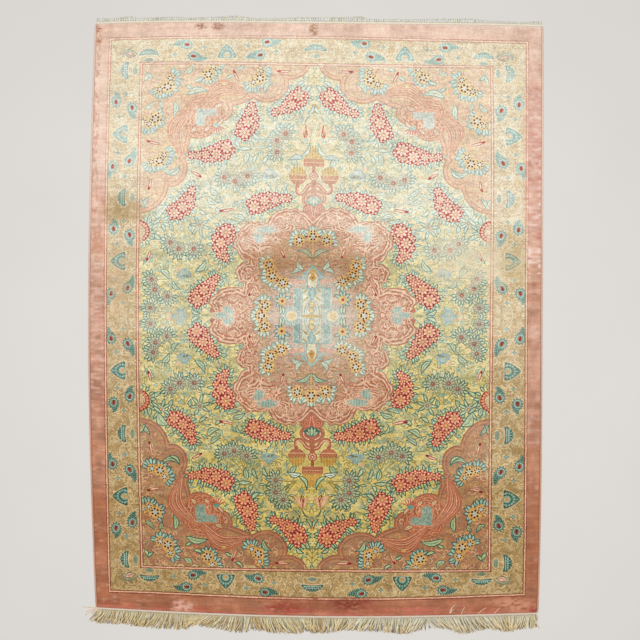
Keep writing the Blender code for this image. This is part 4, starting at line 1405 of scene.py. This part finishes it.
# ---------------------------------------------------------------- materials
class Finish:
    """A material being put together: its shader, and short ways to add and link its nodes."""

    def __init__(self, name):
        """An empty node material with its shader and output."""
        self.material = bpy.data.materials.new(name)
        self.material.use_nodes = True
        self.tree = self.material.node_tree
        self.tree.nodes.clear()
        self.shader = self.add("BsdfPrincipled")
        self.add("OutputMaterial", {0: self.shader.outputs[0]})

    def fill(self, node, inputs):
        """Sets a node's inputs, by name or number, to values, or links them to other nodes' outputs."""
        for key, value in inputs.items():
            if isinstance(value, bpy.types.NodeSocket):
                self.tree.links.new(value, node.inputs[key])
            else:
                node.inputs[key].default_value = value

    def add(self, kind, inputs=None):
        """A new node with its inputs filled."""
        node = self.tree.nodes.new("ShaderNode" + kind)
        self.fill(node, inputs or {})
        return node

    def calc(self, operation, *values):
        """A Math node's result."""
        node = self.add("Math", dict(enumerate(values)))
        node.operation = operation
        return node.outputs[0]

    def mix(self, share, first, second, blend="MIX"):
        """A Mix node for colour: first where share is 0, second where it is 1."""
        node = self.add("Mix", {0: share, 6: first, 7: second})
        node.data_type = "RGBA"
        node.blend_type = blend
        return node.outputs[2]

    def stored(self, name):
        """A colour stored on the faces."""
        node = self.add("Attribute")
        node.attribute_name = name
        return node.outputs[0]

    def read_map(self, name):
        """The two places of a named map."""
        node = self.add("UVMap")
        node.uv_map = name
        return self.add("SeparateXYZ", {0: node.outputs[0]}).outputs[:2]

    def mottle(self, scale):
        """A fine noise through the piece, by its own place."""
        place = self.add("TexCoord").outputs["Object"]
        return self.add("TexNoise", {"Vector": place, "Scale": scale}).outputs[0]

    def bump(self, height, strength, distance):
        """Raises the surface by a height."""
        node = self.add("Bump", {"Strength": strength, "Distance": distance, "Height": height})
        self.fill(self.shader, {"Normal": node.outputs[0]})


def pile_material():
    """Silk pile: each face's sixteen knot colours picked by the Weave map, over a low bump of knot rows."""
    finish = Finish("silk pile")
    parts = finish.read_map("Weave")
    past = [[finish.calc("GREATER_THAN", part, step / KNOTS) for step in range(1, KNOTS)] for part in parts]
    for row in range(KNOTS):
        for column in range(KNOTS):
            knot = finish.stored("knot_%d%d" % (row, column))
            in_row = finish.mix(past[0][column - 1], in_row, knot) if column else knot
        colour = finish.mix(past[1][row - 1], colour, in_row) if row else in_row
    # each knot is a small tuft: the bump is the product of two arches per knot
    waves = [finish.calc("SINE", finish.calc("MULTIPLY", part, KNOTS * math.pi)) for part in parts]
    tuft = finish.calc("MULTIPLY", *[finish.calc("ABSOLUTE", wave) for wave in waves])
    fibre = finish.mottle(900)
    finish.bump(finish.calc("ADD", tuft, finish.calc("MULTIPLY", fibre, 0.6)), 0.25, 0.0003)
    rough = finish.add("MapRange", {"Value": fibre, "To Min": 0.62, "To Max": 0.82})
    finish.fill(finish.shader, {"Base Color": colour, "Roughness": rough.outputs[0], "Sheen Weight": 0.12,
                                "Sheen Roughness": 0.5, "Specular IOR Level": 0.25})
    return finish.material


def yarn_material(name, twist_scale, bump_distance):
    """Yarn: its own stored colour, finely mottled, with a bump of twisted fibres along its map."""
    finish = Finish(name)
    mottled = {"Value": finish.mottle(420), "From Min": 0.35, "From Max": 0.75, "To Max": 0.22}
    share = finish.add("MapRange", mottled).outputs[0]
    colour = finish.mix(share, finish.stored("yarn"), (0.62, 0.55, 0.46, 1), "MULTIPLY")
    slant = finish.calc("ADD", *finish.read_map("Twist"))
    finish.bump(finish.calc("SINE", finish.calc("MULTIPLY", slant, twist_scale)), 0.5, bump_distance)
    finish.fill(finish.shader, {"Base Color": colour, "Roughness": 0.85, "Sheen Weight": 0.1,
                                "Specular IOR Level": 0.2})
    return finish.material


silk_pile = pile_material()
binding_silk = yarn_material("binding silk", 6.28, 0.0003)
warp_thread = yarn_material("warp thread", 12.56, 0.0002)

# ---------------------------------------------------------------- the pile
# top: a grid of shares across and along, drawn in by the bevel at its rim
grid_across = np.linspace(0, 1, CELLS_ACROSS + 1)[None, :]
grid_along = np.linspace(0, 1, CELLS_ALONG + 1)[:, None]
top_x, top_y = rug_point(grid_across, grid_along)
top_x = top_x + RIM_BEVEL * (1 - 2 * grid_across)
top_y = top_y + RIM_BEVEL * (1 - 2 * grid_along)
relief = (noise((CELLS_ALONG + 1, CELLS_ACROSS + 1), 8, 50, 71) - 0.5) * 0.0004
for share in (grid_across, grid_along):
    relief = relief * np.minimum(1, 8 * np.minimum(share, 1 - share))
top_z = THICKNESS + ripple(grid_across, grid_along) + relief
top = np.stack([top_x, top_y, top_z], -1)
order = np.arange((CELLS_ALONG + 1) * (CELLS_ACROSS + 1)).reshape(CELLS_ALONG + 1, CELLS_ACROSS + 1)
top_faces = np.stack([order[:-1, :-1], order[:-1, 1:], order[1:, 1:], order[1:, :-1]], -1).reshape(-1, 4)


# rim: the edge walked once round, repeated at lower and lower levels down to the floor
walk = np.concatenate([order[0, :-1], order[:-1, -1], order[-1, :0:-1], order[:0:-1, 0]])
flat_across = np.broadcast_to(grid_across, order.shape).reshape(-1)
flat_along = np.broadcast_to(grid_along, order.shape).reshape(-1)
rim_x, rim_y = rug_point(flat_across[walk], flat_along[walk])
rings = [np.stack([rim_x, rim_y, np.full(len(walk), height)], -1)
         for height in (THICKNESS - RIM_BEVEL, THICKNESS * 0.4, 0)]
count = len(walk)
levels = [walk] + [order.size + level * count + np.arange(count) for level in range(3)]
rim_faces = [np.stack([upper, lower, np.roll(lower, -1), np.roll(upper, -1)], -1)
             for upper, lower in zip(levels[:-1], levels[1:])]
under_face = levels[-1][::-1][None, :]
points = np.concatenate([top.reshape(-1, 3)] + rings)
pile = make_piece("pile", points, [top_faces] + rim_faces + [under_face], silk_pile)
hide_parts("rug_body")


# the rim walls: the plain band's pale and deep copies mixed by the painted sheen along the rug, made a little
# darker; the underside one brown
rim_silk = np.clip(painted_sheen_depth(rim_y), 0, 1)[:, None]
rim_colour = (SILK["band"][:3] * (1 - rim_silk) + SILK["band"][3:] * rim_silk) * 0.92
wall_light = to_light(np.vstack([rim_colour, rim_colour, rim_colour, [[0.62, 0.5, 0.4]]]))
for row in range(KNOTS):
    for column in range(KNOTS):
        shown = knot_light[row::KNOTS, column::KNOTS].reshape(-1, 3)
        set_face_colours(pile.data, "knot_%d%d" % (row, column), np.vstack([shown, wall_light]))

corner_square = np.array([(0, 0), (1, 0), (1, 1), (0, 1)], np.float32)
set_uv(pile.data, "Weave", np.concatenate([np.tile(corner_square, (len(top_faces) + 3 * count, 1)),
                                           np.full((count, 2), 0.5, np.float32)]))
# the map for a picture of the whole pile: the top, three narrow bands of wall beside it, and the underside
top_map = np.stack([0.002 + 0.97 * flat_across[top_faces], 0.002 + 0.996 * flat_along[top_faces]], -1)
walk_share = np.arange(count) / count
walk_next = (np.arange(count) + 1) / count
wall_maps = [map_corners((low + 0.005, walk_share), (low, walk_share), (low, walk_next),
                         (low + 0.005, walk_next)) for low in (0.976, 0.982, 0.988)]
under_map = np.stack([0.995 + 0.004 * flat_across[walk][::-1], 0.004 * flat_along[walk][::-1]], -1)
set_uv(pile.data, "OFBake", np.concatenate([top_map.reshape(-1, 2)] + wall_maps + [under_map]))
smooth_faces(pile.data)


# ---------------------------------------------------------------- selvedges, woven ends and fringes
def tube_points(paths, radius, sides, squash=1):
    """Tubes round level paths: each ring a circle across the path, flattened upwards by a share."""
    run = np.gradient(paths, axis=1)
    run = run / np.maximum(np.linalg.norm(run, axis=2, keepdims=True), 1e-9)
    side = np.stack([run[..., 1], -run[..., 0], np.zeros_like(run[..., 0])], -1)
    side = side / np.maximum(np.linalg.norm(side, axis=2, keepdims=True), 1e-9)
    up = np.cross(side, run)
    turn = np.arange(sides) * 2 * math.pi / sides
    out = (side[:, :, None, :] * np.cos(turn)[None, None, :, None]
           + up[:, :, None, :] * np.sin(turn)[None, None, :, None] * squash)
    return paths[:, :, None, :] + out * radius[:, :, None, None]


def yarn_piece(name, paths, radius, sides, tints, material, squash=1):
    """Many yarns as one mesh: tubes along paths, closed at both ends, a tint for each step of each yarn."""
    tubes, rings_each = paths.shape[:2]
    points = tube_points(paths, radius, sides, squash).reshape(-1, 3)
    order = np.arange(tubes * rings_each * sides).reshape(tubes, rings_each, sides)
    walls = np.stack(band_corners(order), -1).reshape(-1, 4)
    piece = make_piece(name, points, [walls, order[:, 0, ::-1], order[:, -1]], material)
    wall_tints = np.repeat(tints.reshape(-1, 3), sides, 0)
    set_face_colours(piece.data, "yarn", to_light(np.vstack([wall_tints, tints[:, 0], tints[:, -1]])))
    step = np.arange(rings_each - 1)[:, None]
    side = np.arange(sides)[None, :]
    one = map_corners((side, step), (side + 1, step), (side + 1, step + 1), (side, step + 1))
    caps = np.zeros((tubes * sides * 2, 2))
    set_uv(piece.data, "Twist", np.concatenate([np.tile(one, (tubes, 1)), caps]) / sides)
    smooth_faces(piece.data)
    return piece


def long_walls(order):
    """Faces of one strip or cord, each from a ring to the next and back."""
    lower, lower_next, upper_next, upper = band_corners(order)
    return np.stack([lower, upper, upper_next, lower_next], -1).reshape(-1, 4)


def overcast_cord(name, across, sign, node):
    """A selvedge: an oval cord along the rug's side, ridged where each turn of silk is wrapped round it."""
    rings_each = 1600
    sides = 12
    wraps = 420
    along = np.linspace(0, 1, rings_each)
    x, y = rug_point(np.full(rings_each, across), along)
    x = x + sign * (GAP + SELVEDGE_WIDTH / 2)
    turn = (np.arange(sides) * TURN / sides)[None, :]
    ridge = 1 - 0.09 * (0.5 - 0.5 * np.cos(TURN * wraps * along[:, None] + turn))
    ridge = ridge * np.minimum(1, 0.55 + 60 * np.minimum(along, 1 - along))[:, None]
    points = np.stack([x[:, None] + SELVEDGE_WIDTH / 2 * ridge * np.cos(turn),
                       np.broadcast_to(y[:, None], ridge.shape),
                       SELVEDGE_HEIGHT / 2 * (1 + ridge * np.sin(turn))], -1).reshape(-1, 3)
    order = np.arange(rings_each * sides).reshape(rings_each, sides)
    faces = [long_walls(order), order[:1], order[-1:, ::-1]]
    piece = make_piece(name, points, faces, binding_silk)
    # painted sheen: the binding's colour goes from pale to deep along the rug, with the pile beside it
    sheen_here = np.clip(painted_sheen_depth((y[:-1] + y[1:]) / 2), 0, 1)[:, None]
    tint = (np.array((240, 212, 196)) * (1 - sheen_here) + np.array((212, 156, 130)) * sheen_here) / 255
    tint = np.clip(tint * (1 + hand.normal(0, 0.03, (rings_each - 1, 1))), 0, 1)
    tints = np.vstack([np.repeat(tint, sides, 0), tint[:1], tint[-1:]])
    set_face_colours(piece.data, "yarn", to_light(tints))
    side = np.arange(sides)[None, :] / sides
    before = along[:-1, None] * wraps
    after = along[1:, None] * wraps
    one = map_corners((side, before), (side, after), (side + 1 / sides, after), (side + 1 / sides, before))
    set_uv(piece.data, "Twist", np.concatenate([one, np.zeros((sides * 2, 2))]))
    smooth_faces(piece.data)
    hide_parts(node)
    return piece


selvedge_left = overcast_cord("overcast_left", 0, -1, "selvedge_left")
selvedge_right = overcast_cord("overcast_right", 1, 1, "selvedge_right")

# the woven end's section: shares of its width, and of its thickness
PROFILE_OUT = np.array((0, 0, 0.12, 0.3, 0.45, 0.6, 0.75, 0.9, 1, 1))
PROFILE_UP = np.array((0, 0.75, 1, 1, 0.86, 1, 0.84, 0.95, 0.6, 0))


def woven_end(name, along, sign, width, pale):
    """A flat-woven end: a low arched strip beyond the pile, ribbed by its wefts and dotted by its warps."""
    steps = 1340
    sides = len(PROFILE_OUT)
    x, y = rug_point(np.linspace(0, 1, steps), np.full(steps, along))
    number = np.arange(steps)[:, None]
    warp = 0.08 * np.where(number % 2, 1, -1)
    rise = END_THICKNESS * PROFILE_UP * (1 + warp * (PROFILE_UP > 0))
    out = y[:, None] + sign * (GAP + width * PROFILE_OUT)
    points = np.stack([np.broadcast_to(x[:, None], (steps, sides)), out, rise], -1).reshape(-1, 3)
    order = np.arange(steps * sides).reshape(steps, sides)
    faces = [long_walls(order), order[:1], order[-1:, ::-1]]
    if sign < 0:
        faces = [block[:, ::-1] for block in faces]
    piece = make_piece(name, points, faces, warp_thread)
    tints = np.broadcast_to(np.array(pale) / 255, (steps - 1, sides, 3)).copy()
    tints *= 1 + hand.normal(0, 0.04, (steps - 1, sides, 1))
    dots = (number[:-1, :, None] % 5 < 2) & (hand.random((steps - 1, 1, 1)) < 0.85)
    tints[:, 5:8] *= np.where(dots, 0.6, 0.97)
    flat = np.clip(np.vstack([tints.reshape(-1, 3), tints[0, :1], tints[-1, :1]]), 0, 1)
    set_face_colours(piece.data, "yarn", to_light(flat))
    set_uv(piece.data, "Twist", np.zeros((len(piece.data.loops), 2)))
    return piece


near_end = woven_end("woven_end_near", 0, -1, NEAR_END_WIDTH, (224, 208, 190))
far_end = woven_end("woven_end_far", 1, 1, FAR_END_WIDTH, (240, 232, 212))
ROOT_TONE = (0.9, 0.94, 1)   # how a thread's red, green and blue change at its root
TIP_TONE = (0.97, 0.94, 0.89)      # and at its tip


def fringe(name, along, sign, end_width, lay, threads, seed, shades, thick, tuft, spill, under_shade, bright,
           stains=()):
    """A fringe: threads from the woven end, leaning and reaching as their rows say, gathered in tufts."""
    chance = np.random.default_rng(seed)
    rows = np.array(lay)
    across = (np.arange(threads) + chance.uniform(0.1, 0.9, threads)) / threads
    x, y = rug_point(across, np.full(threads, along))
    lean = np.interp(x, rows[:, 0], rows[:, 1])
    reach = np.interp(x, rows[:, 0], rows[:, 2]) * 1.06 + 0.001
    layer = np.arange(threads) % 3
    tuft_number = np.floor(x / tuft)
    lean = lean + chance.normal(0, spill * 0.3, threads) + spill * 0.75 * np.sin(tuft_number * 12.99 + seed)
    reach = reach * (1 - np.abs(chance.normal(0, 0.09, threads)) - 0.03 * (2 - layer))
    share = np.linspace(0, 1, 8)[None, :]
    middles = (tuft_number + 0.5 + 0.25 * np.sin(tuft_number * 2.3)) * tuft
    drawn_in = (middles - x)[:, None] * 0.45 * share ** 1.5
    bent = chance.normal(0, spill * 0.45, (threads, 1)) * share ** 2.2
    sway = chance.normal(0, spill * 0.16, (threads, 1))
    sway = bent + sway * np.sin(share * math.pi * chance.uniform(0.8, 2, (threads, 1)))
    px = x[:, None] + lean[:, None] * share ** 1.2 + drawn_in + sway
    start = y[:, None] + sign * (GAP + end_width - 0.001)
    py = start + sign * reach[:, None] * share
    rise = 0.0013 + 0.0014 * layer[:, None] * np.sin(share * math.pi * 0.62 + 0.35)
    pz = rise * (1 - 0.35 * share) + 0.0002 * np.sin(share * 7 + across[:, None] * 90)
    paths = np.stack([px, py, pz], -1)
    width = thick * chance.uniform(0.75, 1.15, threads)[:, None] * (1.22 - 0.5 * share ** 1.6)
    tints = np.array(shades, float)[chance.integers(0, len(shades), threads)] / 255
    tints = tints * (1 + chance.normal(0, 0.05, (threads, 1)))
    for place, wide, shade in stains:
        share_here = np.exp(-((x - place) / wide) ** 2)[:, None] * 0.6
        tints = tints + share_here * (np.array(shade) / 255 * tints.mean() * 1.15 - tints)
    step = ((share[:, 1:] + share[:, :-1]) / 2)[..., None]
    # painted shade: threads of the lower layers darker, the lowest by the under shade, less so near the root;
    # the top layer a little paler
    layer_shade = np.array((under_shade, 0.45 + under_shade * 0.55, 1.06))[layer][:, None, None]
    layer_shade = layer_shade + (1 - layer_shade) * 0.55 * (1 - step) * (layer[:, None, None] < 2)
    tone = ((1 - step) * np.array(ROOT_TONE) + step * np.array(TIP_TONE)) * bright
    tints = np.clip(tints[:, None, :] * layer_shade * tone, 0, 1)
    return yarn_piece(name, paths, width, 5, tints, warp_thread, squash=0.7)


NEAR_SHADES = ((246, 230, 184), (238, 220, 172), (226, 204, 152), (250, 240, 210), (216, 186, 126),
               (238, 214, 160), (236, 206, 170))
FAR_SHADES = ((252, 252, 236), (248, 246, 226), (255, 255, 244), (240, 232, 206))
NEAR_STAINS = ((-0.175, 0.016, (214, 170, 108)), (0.014, 0.014, (206, 160, 100)),
               (-0.4, 0.2, (244, 222, 168)), (0.35, 0.3, (255, 244, 212)))
near_threads = fringe("fringe_near_threads", 0, -1, NEAR_END_WIDTH, NEAR_LAY, 960, 81, NEAR_SHADES,
                      0.0015, 0.0105, 0.013, 0.52, 0.98, NEAR_STAINS)
far_threads = fringe("fringe_far_threads", 1, 1, FAR_END_WIDTH, FAR_LAY, 760, 82, FAR_SHADES,
                     0.00125, 0.0072, 0.0014, 0.76, 1.07)
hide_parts("fringe_near")
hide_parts("fringe_far")

# rows: a loose thread's start, middle and end on the rug (across, along), and how high it lies
LOOSE_THREADS = (
    (0.402, -0.862, 0.398, -0.85, 0.417, -0.836, 0.0064),
    (0.404, -0.862, 0.404, -0.852, 0.409, -0.842, 0.0066),
    (0.399, -0.862, 0.402, -0.855, 0.414, -0.85, 0.0068),
    (0.435, -0.866, 0.436, -0.855, 0.447, -0.842, 0.0064),
    (0.486, -0.862, 0.496, -0.852, 0.51, -0.845, 0.0064),
    (0.534, -0.862, 0.544, -0.85, 0.552, -0.845, 0.0064),
    (-0.652, -0.85, -0.672, -0.843, -0.697, -0.845, 0.0016),
    (-0.65, -0.851, -0.672, -0.853, -0.692, -0.869, 0.0022),
    (-0.649, -0.853, -0.66, -0.855, -0.672, -0.864, 0.003),
    (-0.65, -0.852, -0.668, -0.848, -0.69, -0.858, 0.002),
)
loose = np.array(LOOSE_THREADS)[:, None, :]
share = np.linspace(0, 1, 12)[None, :, None]
flat = loose[..., 0:2] * (1 - share) ** 2 + loose[..., 2:4] * 2 * share * (1 - share)
flat = flat + loose[..., 4:6] * share ** 2
height = loose[..., 6:7] + 0.0006 * np.sin(share * math.pi)
loose_paths = np.concatenate([flat, np.broadcast_to(height, flat.shape[:2] + (1,))], -1)
loose_radius = np.full(loose_paths.shape[:2], 0.0009)
loose_tints = np.broadcast_to(np.array((0.98, 0.87, 0.74)), (len(loose), loose_paths.shape[1] - 1, 3))
loose_threads = yarn_piece("loose_threads", loose_paths, loose_radius, 6, loose_tints,
                           warp_thread)


# ---------------------------------------------------------------- floor, light and camera
def plain_floor():
    """A wide pale floor just under the rug, faintly mottled."""
    size = 12
    points = [(-size, -size, -0.0002), (size, -size, -0.0002), (size, size, -0.0002), (-size, size, -0.0002)]
    mesh = bpy.data.meshes.new("floor")
    mesh.from_pydata(points, [], [(0, 1, 2, 3)])
    floor = bpy.data.objects.new("floor", mesh)
    bpy.context.scene.collection.objects.link(floor)
    finish = Finish("pale floor")
    colour = finish.mix(finish.mottle(3), (0.72, 0.7, 0.67, 1), (0.76, 0.74, 0.71, 1))
    finish.fill(finish.shader, {"Base Color": colour, "Roughness": 0.8})
    mesh.materials.append(finish.material)
    floor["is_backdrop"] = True


plain_floor()

LIGHT_HEIGHT = 3.4
LIGHT_SIZE = 3.6
LIGHT_POWER = 101
lamp_data = bpy.data.lights.new("soft box", "AREA")
lamp_data.shape = "SQUARE"
lamp_data.size = LIGHT_SIZE
lamp_data.energy = LIGHT_POWER
lamp = bpy.data.objects.new("soft box", lamp_data)
lamp.location = (0, 0, LIGHT_HEIGHT)
bpy.context.scene.collection.objects.link(lamp)

world = bpy.data.worlds.new("studio")
world.use_nodes = True
world.node_tree.nodes["Background"].inputs[0].default_value = (1, 0.99, 0.97, 1)
world.node_tree.nodes["Background"].inputs[1].default_value = 0.385
bpy.context.scene.world = world

VIEW_WIDTH = 1.92            # how much floor the picture takes in from side to side
VIEW_CENTRE = (0.0123, 0.0165)
CAMERA_HEIGHT = 3.2
camera_data = bpy.data.cameras.new("overhead")
camera_data.sensor_width = 36
camera_data.lens = 36 * CAMERA_HEIGHT / VIEW_WIDTH
camera = bpy.data.objects.new("overhead", camera_data)
camera.location = (VIEW_CENTRE[0], VIEW_CENTRE[1], CAMERA_HEIGHT)
bpy.context.scene.collection.objects.link(camera)
bpy.context.scene.camera = camera
bpy.context.scene.view_settings.view_transform = "Standard"

low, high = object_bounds()
